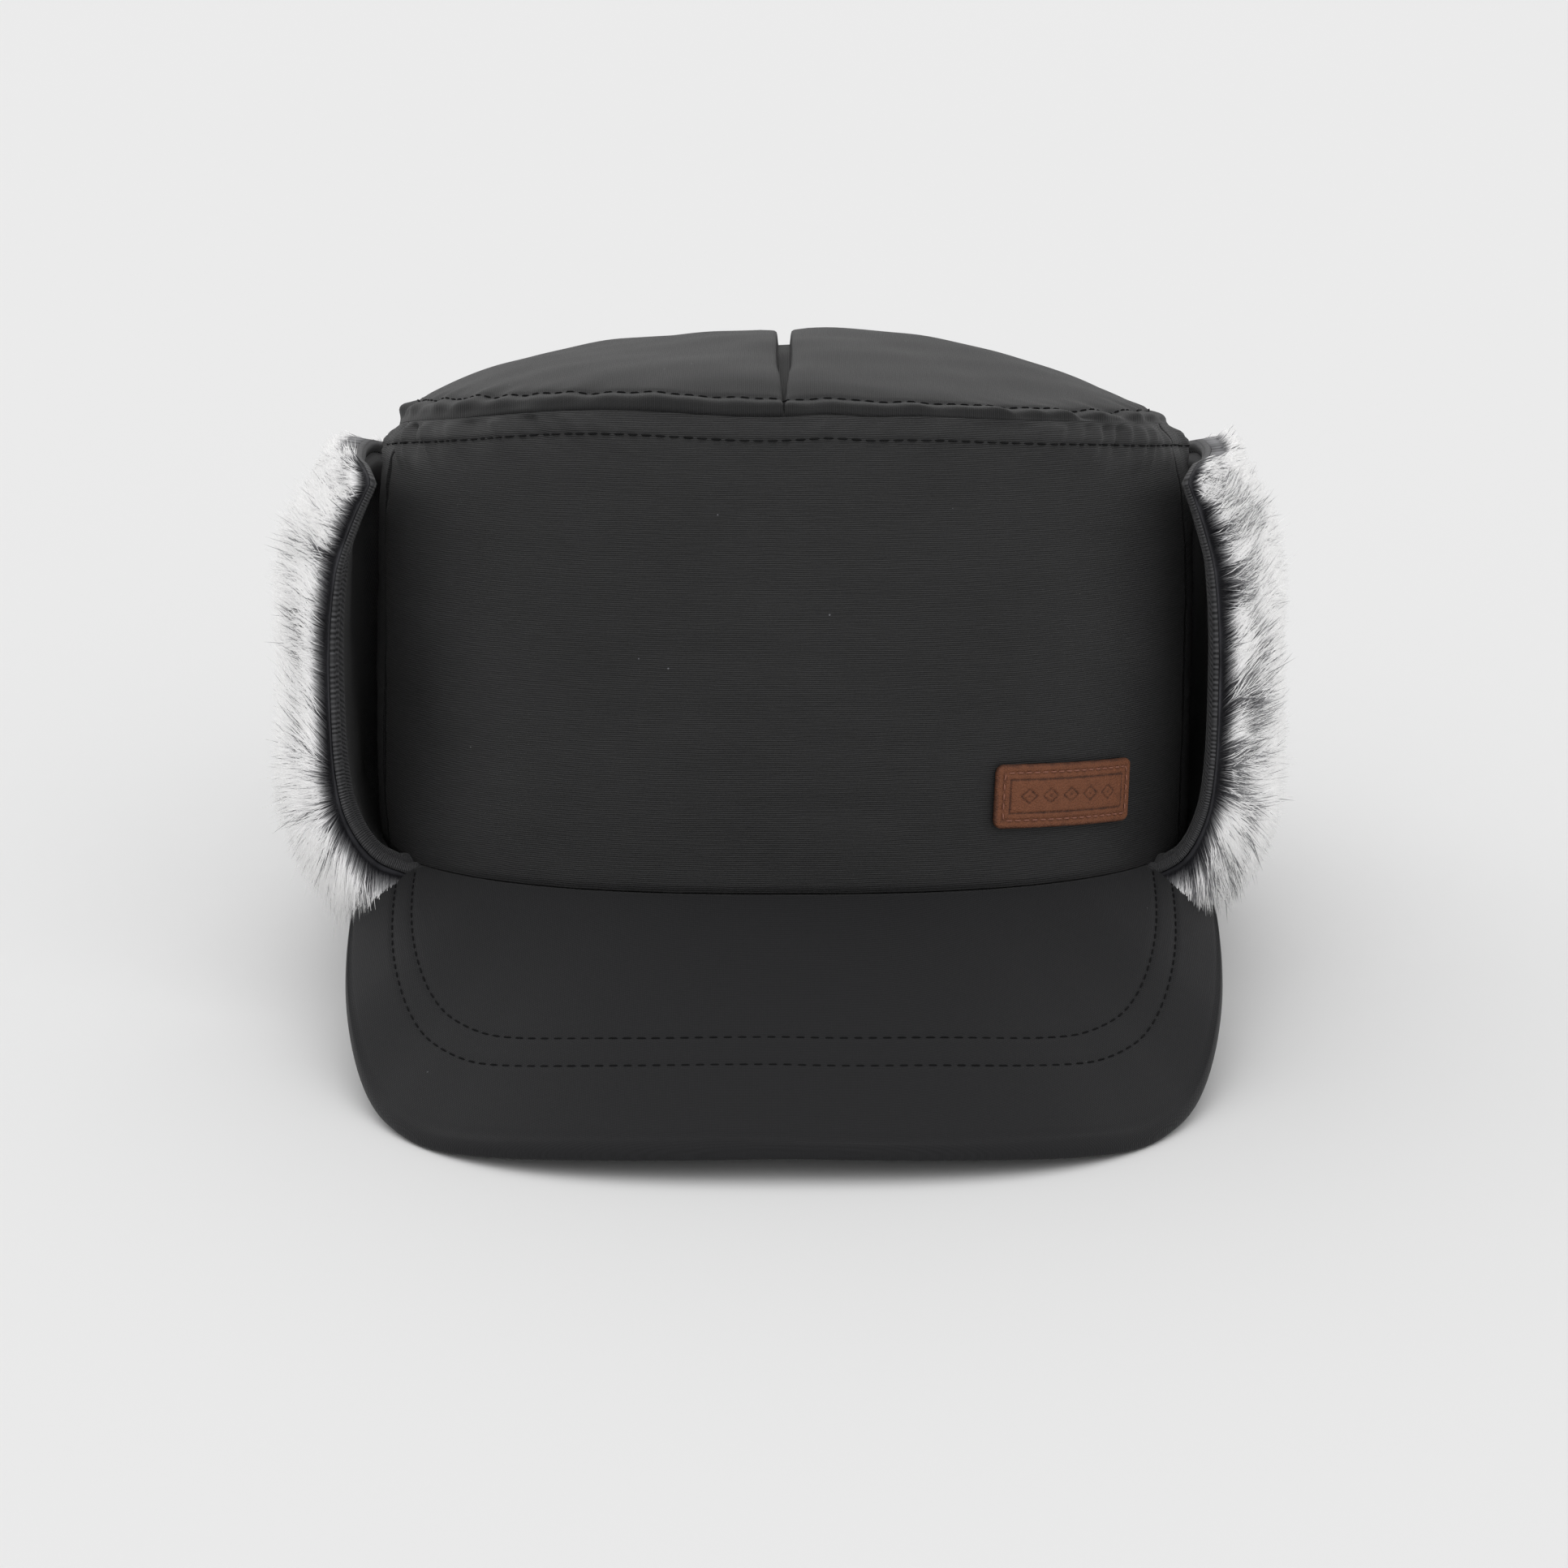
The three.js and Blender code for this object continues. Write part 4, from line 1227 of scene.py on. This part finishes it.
    def cloth(self, columns: int, rows: int) -> bpy.types.Object:
        """Cloth wall with soft dents, a rolled edge and a groove along the edge stitch."""
        angle = self.end_crowded(columns, 1.9)
        t = np.sin(np.linspace(0, 1, rows) * np.pi / 2)
        a, t = np.meshgrid(angle, t, indexing="ij")
        near = np.minimum(self.from_end(a), (1 - t) * self.height(a))
        slim = 1 - 0.6 * bell(near, 0.35)
        dents = 0.35 * ripple(a * 90, t * 90, 32.0, 41) * smooth(6, 16, near) * smooth(0, 0.15, t)
        fur_side = self.wall_point(a, t, np.full_like(a, self.thick / 2))
        crown_side = self.wall_point(a, t, -(self.thick / 2 + dents) * slim - self.edge_relief(near))
        uv = np.stack([a * 97, t * 95], -1)
        return make_shell("flap_cloth_wall", crown_side, fur_side, self.place, uv)

    def end_crowded(self, columns: int, power: float) -> np.ndarray:
        """Angles from end to end, closer together at the two front ends."""
        share = np.linspace(-1, 1, columns)
        return self.end * np.sign(share) * (1 - (1 - np.abs(share)) ** power)

    def edge_relief(self, near: np.ndarray) -> np.ndarray:
        """Height on the crown's side at a distance from the edge: a flat strip, a groove, a soft roll."""
        strip = 0.35 * smooth(0, 0.8, near)
        groove = -0.45 * bell(near - self.stitch_inset, 0.45)
        roll = 1.25 * smooth(self.stitch_inset, self.stitch_inset + 2.3, near) * (1 - smooth(5.5, 14, near))
        return strip * (1 - smooth(9, 14, near)) + groove + roll

    def edge_stitch(self) -> list[tuple[np.ndarray, np.ndarray]]:
        """Path of the stitch row that follows the flap's front and top edges on the crown's side."""
        inset, side, top = self.stitch_inset, 60, 500
        top_t = 1 - inset / self.section_length
        side_t = np.linspace(0.12, top_t, side)
        near_end = self.end - inset / self.crown.half_width
        across = near_end * np.linspace(-1, 1, top)
        angle = np.r_[np.full(side, -near_end), across, np.full(side, near_end)]
        t = np.r_[side_t, np.full(top, top_t), side_t[::-1]]
        lift = self.thick / 2 + float(self.edge_relief(np.array(inset)))
        path = self.wall_point(angle, t, np.full_like(t, -lift))
        other = self.wall_point(angle, t, np.full_like(t, self.thick / 2))
        return [(path, unit(path - other))]

    def fur_point(self, angle: np.ndarray, s: np.ndarray, depth_share: np.ndarray) -> np.ndarray:
        """Points between the flap and the fur's outer surface.

        Args:
            angle: angles from the back.
            s: shares of the way up the fur's section.
            depth_share: 0 at the flap, 1 at the fur's outer surface.

        Returns:
            Points in the cap's own frame.
        """
        keys = np.linspace(0, 1, len(self.fur_section))
        reach_s, depth_s, height_s, belly_s = (
            through([(k, row[c]) for k, row in zip(keys, self.fur_section)], s) for c in range(4))
        reach = self.reach(angle) + self.thick / 2
        end = np.clip(self.from_end(angle) / self.end_length, 0, 1)
        round_end = 0.4 + 0.6 * np.sqrt(1 - (1 - end) ** 2)
        depth = self.fur_depth * round_end
        hang = np.where(belly_s > 0.001, self.crown.gap, 0)
        out = reach_s * reach + depth_s * depth
        up = height_s * self.height(angle) - belly_s * self.belly - hang
        outer = self.crown.around(np.pi - angle, out, up)
        t = np.clip(through(self.backing, s), 0, 1)
        inner = self.wall_point(angle, t, np.full_like(t, self.thick / 2 + self.backing_clearance))
        return inner + (outer - inner) * depth_share[..., None]

    def fur_base(self, columns: int, rows: int) -> bpy.types.Object:
        """Dense under-pile: half as deep as the fur, thin at the front ends, with lock relief."""
        angle = self.end_crowded(columns, 1.35)
        s = np.linspace(0, 1, rows)
        a, s = np.meshgrid(angle, s, indexing="ij")
        from_end = self.from_end(a)
        thin = 0.1 + 0.52 * smooth(0, 15, from_end)
        locks = 0.05 * ripple(a * 100, s * 110, 9.0, 51) * smooth(0, 12, from_end) * smooth(0.95, 0.8, s)
        outer = self.fur_point(a, s, thin + locks)
        inner = self.fur_point(a, s, np.full_like(a, 0.02))
        # Dark tone of the under-pile: the fur's dark roots, and painted shade deep inside the pile; lower
        # still near the front ends.
        tone = 0.05 + 0.2 * smooth(8, 22, from_end) + 0.05 * ripple(a * 100, s * 110, 6.0, 52)
        uv = np.stack([a * 100, s * 110], -1)
        return make_shell("flap_fur_pile", outer, inner, self.place, uv, tone=tone)

    def roots(self, rng: np.random.Generator, count: int, stand: Stand) -> tuple[np.ndarray, ...]:
        """Where hairs start: on the under-pile, or often on the flap itself near a front end.

        Args:
            rng: source of the random draws.
            count: number of hairs.
            stand: where the hairs stand.

        Returns:
            Angles from the back, shares of the way up, and shares of the fur's depth.
        """
        if stand is Stand.ENDS:
            inwards = self.end_length * rng.uniform(0, 1, count) ** 1.5 / self.crown.half_width
            angle = rng.choice([-1.0, 1.0], count) * (self.end - inwards)
        else:
            angle = rng.uniform(-1, 1, count) * self.end
        s = rng.uniform(0.0, 1.0, count)
        from_end, on_flap = self.from_end(angle), 0.03
        share = on_flap + (0.08 + 0.5 * smooth(0, 15, from_end)) * rng.uniform(0.6, 1.0, count)
        bare = rng.uniform(size=count) < 0.5 * (1 - smooth(2, 15, from_end))
        return angle, s, np.where(bare, on_flap, share)

    def hair_tones(self, rng: np.random.Generator, angle: np.ndarray, s: np.ndarray,
                   buried: np.ndarray) -> np.ndarray:
        """Tones of hairs: dark roots, pale tips, and dark hairs in slanting partings near the ends, which
        show the dark roots in a parting and painted shade there.

        Args:
            rng: source of the random draws.
            angle: angles from the back, in radians.
            s: shares of the way up the fur's section.
            buried: shares of the fur's depth at which the hairs start.

        Returns:
            Five tones for each hair: its root, the three corners of its bend, and its tip.
        """
        along, rise = angle * 100, s * 120
        inwards = smooth(5, 14, self.from_end(angle))
        start = 0.06 + np.clip(buried, 0, 0.6) * 0.5
        # Partings: the hairs along these slanting streaks are darkened, for the dark roots seen in a parting
        # and as painted shade inside it.
        streaks = ripple(along - 0.8 * rise, rise * 0.5, 8.0, 55) + 0.42 * np.sign(angle)
        parting = smooth(-0.1, 1.0, streaks) * (1 - inwards)
        parting = parting + 0.06 * smooth(0.3, 1.1, streaks) * inwards
        bright = 1.0 + 0.07 * rng.standard_normal(len(angle))
        bright = np.where(rng.uniform(size=len(angle)) < 0.04 + 0.62 * parting, bright * 0.36, bright)
        bend = start + (bright - start) * 0.58
        return np.stack([start, bend, bend, bend, bright], 1)

    def strands(self, name: str, count: int, seed: int, stand: Stand) -> bpy.types.Object:
        """Loose hair as three-sided needles with one bend, in clumps, as one mesh.

        A hair starts on the under-pile, or on the flap itself near a front end, and runs along
        the surface's normal plus the comb, which points up above the hem and down below it, and a
        little forward near a front end. Its tip is drawn towards the middle of its clump. A hair is
        thickest at its bend and pointed at both ends. Hairs that would pass through the surface that
        the cap rests on are laid on it.

        Args:
            name: the object's name.
            count: number of hairs.
            seed: seed of the random draws.
            stand: where the hairs stand.

        Returns:
            The new object.
        """
        rng = np.random.default_rng(seed)
        angle, s, root_share = self.roots(rng, count, stand)
        near_end = 1 - smooth(2, 15, self.from_end(angle))
        root = self.fur_point(angle, s, root_share)
        outer = self.fur_point(angle, s, np.ones(count))
        deep = self.fur_point(angle, s, np.zeros(count))
        out = unit(outer - deep)
        above = self.fur_point(angle, np.minimum(1, s + 0.02), np.ones(count))
        below = self.fur_point(angle, np.maximum(0, s - 0.02), np.ones(count))
        up = unit(above - below)
        away = self.crown.away(np.pi - angle)
        turning = np.stack([away[:, 1], -away[:, 0], np.zeros(count)], -1)
        forward = turning * np.sign(angle)[:, None]

        along, rise = angle * 100, s * 120
        cell = self.clump_size
        row = np.floor(rise / cell + 0.25 * rng.standard_normal(count))
        column = np.floor(along / cell + 0.5 * (row % 2) + 0.25 * rng.standard_normal(count))
        aside = along - (column + 0.5 - 0.5 * (row % 2)) * cell
        over = rise - (row + 0.5) * cell
        lean_up = np.sin(column * 12.9898 + row * 78.233)
        lean_side = np.sin(column * 39.3 + row * 11.1)
        comb = through(self.comb, s) + 0.3 * ripple(along, rise, 17.0, 53) + 0.16 * lean_up
        spread = 0.1 + 0.16 * near_end + 0.14 * lean_side + 0.12 * ripple(along, rise, 23.0, 54)
        way = unit(out + up * comb[:, None] + forward * spread[:, None]
                   + 0.09 * rng.standard_normal((count, 3)))
        depth = np.linalg.norm(outer - deep, axis=1)
        shorter = 1 - 0.3 * smooth(0.82, 1, s) - 0.12 * smooth(0.4, 0.25, s)
        full = np.clip(depth * 1.04, *self.hair_lengths) * shorter
        already = np.linalg.norm(root - deep, axis=1)
        free = np.maximum(full - already, 4.5)
        length = free * np.sqrt(1 + 0.5 * comb**2) * rng.uniform(0.8, 1.12, count)
        length = np.where(rng.uniform(size=count) < 0.02, length * 1.25, length)
        middle = root + way * (length * 0.5)[:, None] + out * (0.07 * length)[:, None]
        tip = root + way * length[:, None]
        pull = self.clump_pull * np.clip(length / 10, 0, 1)
        tip -= turning * (pull * aside)[:, None] + up * (pull * over)[:, None]
        tip[:, 2] -= 0.05 * length * np.abs(rng.standard_normal(count))
        side_way = unit(np.cross(way, rng.standard_normal((count, 3))))
        other_way = unit(np.cross(way, side_way))
        turn = np.arange(3) * 2 * np.pi / 3
        ring = (np.cos(turn)[None, :, None] * side_way[:, None, :]
                + np.sin(turn)[None, :, None] * other_way[:, None, :])
        thick = (0.1 if stand is Stand.ENDS else 0.13) * rng.uniform(0.75, 1.25, count)[:, None, None]
        points = np.concatenate([root[:, None], middle[:, None] + ring * thick, tip[:, None]], 1)
        world = self.place(points)
        floor = 0.0002 + 0.0012 * rng.uniform(size=count)[:, None]
        world[..., 2] = np.maximum(world[..., 2], floor)
        needle = np.array([(0, 2, 1), (0, 3, 2), (0, 1, 3), (1, 2, 4), (2, 3, 4), (3, 1, 4)])
        faces = (needle[None] + (np.arange(count) * 5)[:, None, None]).reshape(-1, 3)
        if not np.array_equal(outward(self.place(points[:1]), needle), needle):
            faces = faces[:, ::-1]
        tone = self.hair_tones(rng, angle, s, already / np.maximum(depth, 1e-6))
        return make_object(name, world.reshape(-1, 3), faces, None, tone.ravel())


@dataclass(frozen=True)
class Label:
    """Small leather label: a rounded slab with blind tooling, sewn round its edge.

    Lengths are in millimetres and angles in degrees. It lies at an angle from the front.
    """

    crown: Crown
    width: float = 36.0
    height: float = 13.4
    thick: float = 1.2
    corner: float = 1.8
    angle: float = 34.8
    tilt: float = -2.4
    above_hem: float = 18.7
    clearance: float = 0.3
    stitch_inset: float = 1.7
    rule_inset: float = 3.2
    repeat: float = 5.2
    diamond: float = 1.9
    row_reach: float = 12.9
    groove_depth: float = 0.22

    def place_on(self, x: np.ndarray, z: np.ndarray, out: np.ndarray) -> np.ndarray:
        """Points of the label's own plane, wrapped on the crown's wall and moved out."""
        step = 0.01
        middle, tilt = np.radians(self.angle), np.radians(self.tilt)
        ends = self.crown.outline(np.array([middle - step, middle + step]))
        per_radian = np.linalg.norm(ends[1] - ends[0]) / (2 * step)
        angle = middle + (x * np.cos(tilt) - z * np.sin(tilt)) / per_radian
        up = x * np.sin(tilt) + z * np.cos(tilt)
        share = (self.above_hem + up) / self.crown.seam_height(angle)
        return self.crown.wall_point(angle, share, out)

    def tooling(self, x: np.ndarray, z: np.ndarray) -> np.ndarray:
        """Depth of the blind tooling: a thin rule inside the stitches and a row of small diamonds.

        The rule is where the distance from the edge is near a set inset. A diamond is where
        |x| + 1.3 |z| within each repeat is near a set size, and its dot where that sum is near 0.

        Args:
            x: places across the label.
            z: places up the label.

        Returns:
            Depths from 0 to 1.
        """
        inset = np.minimum(self.width / 2 - np.abs(x), self.height / 2 - np.abs(z))
        cell = (x + self.repeat / 2) % self.repeat - self.repeat / 2
        reach = np.abs(cell) + 1.3 * np.abs(z)
        figure = (bell(reach - self.diamond, 0.24) + bell(reach, 0.45)) * (np.abs(x) < self.row_reach)
        return np.clip(bell(inset - self.rule_inset, 0.22) + figure, 0, 1)

    def make(self, place: Placement, columns: int, rows: int) -> bpy.types.Object:
        """Closed slab whose edge is rounded by 1 - sqrt(1 - t^2) and whose face carries the tooling."""
        a = np.sin(np.linspace(-1, 1, columns) * np.pi / 2)
        a = 0.35 * a + 0.65 * np.linspace(-1, 1, columns)
        b = np.sin(np.linspace(-1, 1, rows) * np.pi / 2)
        b = 0.35 * b + 0.65 * np.linspace(-1, 1, rows)
        a, b = np.meshgrid(a, b, indexing="ij")
        from_end = (1 - np.abs(a)) * self.width / 2
        inside = np.clip(self.corner - from_end, 0, self.corner)
        cut = self.corner - np.sqrt(self.corner**2 - inside**2)
        x, z = a * self.width / 2, b * (self.height / 2 - cut)
        ragged = 0.12 * ripple(x, z, 7.0, 61)
        edge = np.minimum(from_end, (self.height / 2 - cut) - np.abs(z))
        round_edge = 0.45 * (1 - np.sqrt(1 - (1 - np.clip(edge / 0.8, 0, 1)) ** 2))
        groove = self.groove_depth * bell(edge - self.stitch_inset, 0.4)
        pillow = 0.12 * smooth(0, 4, edge)
        tooled = self.tooling(x, z)
        out = self.clearance + self.thick - round_edge - groove + pillow - 0.3 * tooled + 0.04 * ragged
        outer = self.place_on(x * (1 + 0.004 * ragged), z * (1 + 0.008 * ragged), out)
        inner = self.place_on(x, z, np.full_like(x, self.clearance))
        tone = 1 - 0.75 * tooled - 0.55 * (1 - smooth(0, 0.9, edge)) - 0.3 * groove / self.groove_depth
        return make_shell("label_slab", outer, inner, place, np.stack([x, z], -1), tone=tone)

    def stitch_row(self) -> list[tuple[np.ndarray, np.ndarray]]:
        """Closed rounded path inside the label's edge."""
        w, h, r = self.width / 2 - self.stitch_inset, self.height / 2 - self.stitch_inset, 1.0
        turn = np.linspace(0, np.pi / 2, 8)
        quarter = np.stack([w - r + r * np.sin(turn), h - r + r * np.cos(turn)], -1)
        right = np.concatenate([quarter, quarter[::-1] * (1, -1)])
        loop = np.concatenate([right, right[::-1] * (-1, 1), right[:1]])
        run = np.r_[0, np.cumsum(np.linalg.norm(np.diff(loop, axis=0), axis=1))]
        at = np.linspace(0, run[-1], 400)
        x, z = np.interp(at, run, loop[:, 0]), np.interp(at, run, loop[:, 1])
        path = self.place_on(x, z, np.full_like(x, self.clearance + self.thick - 0.02))
        lower = self.place_on(x, z, np.full_like(x, self.clearance))
        return [(path, unit(path - lower))]


@dataclass(frozen=True)
class Studio:
    """Pale floor, soft light and the camera of the photograph.

    The camera's elevation is in degrees above the hem's plane, its distance in millimetres, and its
    target in the cap's own frame. The photograph's side is image pixels long.
    """

    place: Placement
    elevation: float = 8.5
    distance: float = 1100.0
    mm_per_pixel: float = 0.184
    image: int = 1932
    target: tuple[float, float, float] = (0.0, 0.0, 8.0)
    sensor: float = 36.0
    floor_half: float = 60.0
    floor_below: float = 0.0003
    surround: float = 0.68

    def camera(self) -> None:
        """Camera above the cap's front, aimed at a point a little above the hem."""
        e = np.radians(self.elevation)
        back = np.array([0.0, -np.cos(e), np.sin(e)])
        data = bpy.data.cameras.new("camera")
        data.sensor_width = self.sensor
        data.lens = self.sensor * self.distance / self.mm_per_pixel / self.image
        data.clip_start, data.clip_end = 0.05, 50.0
        view = bpy.data.objects.new("camera", data)
        bpy.context.scene.collection.objects.link(view)
        place = self.place(np.array(self.target) + back * self.distance)
        back = self.place.turn(back)
        right = np.array([1.0, 0.0, 0.0])
        up = np.cross(back, right)
        view.matrix_world = Matrix([(*map(float, (right[k], up[k], back[k])), float(place[k]))
                                    for k in range(3)] + [(0, 0, 0, 1)])
        bpy.context.scene.camera = view

    def sun(self, name: str, towards: tuple[float, float, float], width: float, strength: float) -> None:
        """Even light from a wide patch of sky.

        Args:
            name: the lamp's name.
            towards: direction of the patch's middle.
            width: width of the patch in degrees.
            strength: light on a surface that faces it, in watts per square metre.
        """
        data = bpy.data.lights.new(name, "SUN")
        data.angle, data.energy = np.radians(width), strength
        lamp = bpy.data.objects.new(name, data)
        bpy.context.scene.collection.objects.link(lamp)
        back = unit(np.array(towards, float))
        right = unit(np.cross([0.0, 1.0, 0.0], back))
        up = np.cross(back, right)
        lamp.matrix_world = Matrix([(*map(float, (right[k], up[k], back[k])), 0.0)
                                    for k in range(3)] + [(0, 0, 0, 1)])

    def floor(self) -> None:
        """Wide pale floor just below the cap."""
        corners = np.array([(-1, -1, 0), (1, -1, 0), (1, 1, 0), (-1, 1, 0)]) * self.floor_half
        corners[:, 2] = -self.floor_below
        ground = make_object("floor", corners, np.array([[0, 1, 2, 3]]))
        s = Shader("floor_paper")
        tint = s.noise(s.place((0.001, 0.001, 0.001), uv=False), 1.0)
        colour = s.mix(tint, (0.80, 0.80, 0.80), (0.82, 0.82, 0.82))
        ground.data.materials.append(s.finish(colour, 0.9, None, 0))

    def light(self) -> None:
        """Soft light from above and behind, about as much from the front, and a pale surround."""
        world = bpy.data.worlds.new("surround")
        bpy.context.scene.world = world
        world.use_nodes = True
        background = world.node_tree.nodes["Background"]
        background.inputs["Color"].default_value = (1, 1, 1, 1)
        background.inputs["Strength"].default_value = self.surround
        self.sun("top_light", (-0.3, 0.5, 0.8), 75.0, 0.7)
        self.sun("front_light", (0.15, -0.75, 0.7), 80.0, 0.75)
        scene = bpy.context.scene
        scene.view_settings.view_transform = "Standard"
        scene.view_settings.look = "None"
        scene.view_settings.exposure = 0.0
        scene.view_settings.gamma = 1.0


def dress(made: bpy.types.Object, material: bpy.types.Material, slot: str, *nodes: str) -> bpy.types.Object:
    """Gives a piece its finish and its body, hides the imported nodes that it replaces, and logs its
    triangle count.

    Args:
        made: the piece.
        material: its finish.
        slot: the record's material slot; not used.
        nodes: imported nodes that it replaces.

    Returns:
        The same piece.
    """
    made.data.materials.append(material)
    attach(made, "root")
    if nodes:
        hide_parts(*nodes)
    made.data.calc_loop_triangles()
    log.info("%s: %d triangles", made.name, len(made.data.loop_triangles))
    return made


def main() -> None:
    """Builds every sub-assembly in order."""
    logging.basicConfig(level=logging.INFO, format="%(name)s: %(message)s")
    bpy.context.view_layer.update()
    crown = Crown()
    peak = Peak(crown)
    place = Placement(Rest(), peak.outline_points())
    finishes = Finishes()
    panels = CrownPanels(crown, place)
    edge = crown.side_seam_angle
    half_gap = np.degrees(crown.gap / 2 / crown.half_width)
    dress(panels.wall("front_panel_cloth", -edge + half_gap, edge - half_gap, 190, 74),
          finishes.shell, "shell_cloth", "front_panel")
    dress(panels.wall("back_panel_cloth", edge + half_gap, 360 - edge - half_gap, 220, 50),
          finishes.shell, "shell_cloth", "back_panel")
    dress(panels.top(190, 136), finishes.top, "shell_cloth", "top_panel")
    dress(peak.make(place, 130, 84), finishes.peak, "peak_cloth", "peak")
    flap = EarFlap(crown, place)
    cloth = dress(flap.cloth(250, 44), finishes.twill, "flap_twill", "flap_cloth")
    dress(flap.fur_base(180, 30), finishes.fur, "faux_fur", "flap_fur")
    for number in range(3):
        hair = flap.strands(f"flap_fur_hair_{number + 1}", 27000, 71 + number, Stand.ROUND)
        dress(hair, finishes.fur, "faux_fur")
    dress(flap.strands("flap_fur_hair_ends", 22000, 81, Stand.ENDS), finishes.fur, "faux_fur")
    label = Label(crown)
    dress(label.make(place, 140, 60), finishes.leather, "label_leather", "label")
    dress(sewn("label_stitches", label.stitch_row(), Stitches(1.5, 2.05, 0.2), place),
          finishes.label_thread, "label_leather")
    dress(sewn("crown_stitches", panels.seams(), Stitches(), place), finishes.thread, "shell_cloth")
    rows = [peak.row(inset) for inset in peak.stitch_rows]
    dress(sewn("peak_stitches", rows, Stitches(), place), finishes.thread, "peak_cloth")
    dress(sewn("flap_stitches", flap.edge_stitch(), Stitches(), place), finishes.thread, "flap_twill")
    studio = Studio(place)
    studio.floor()
    studio.light()
    studio.camera()


if __name__ == "__main__":
    main()
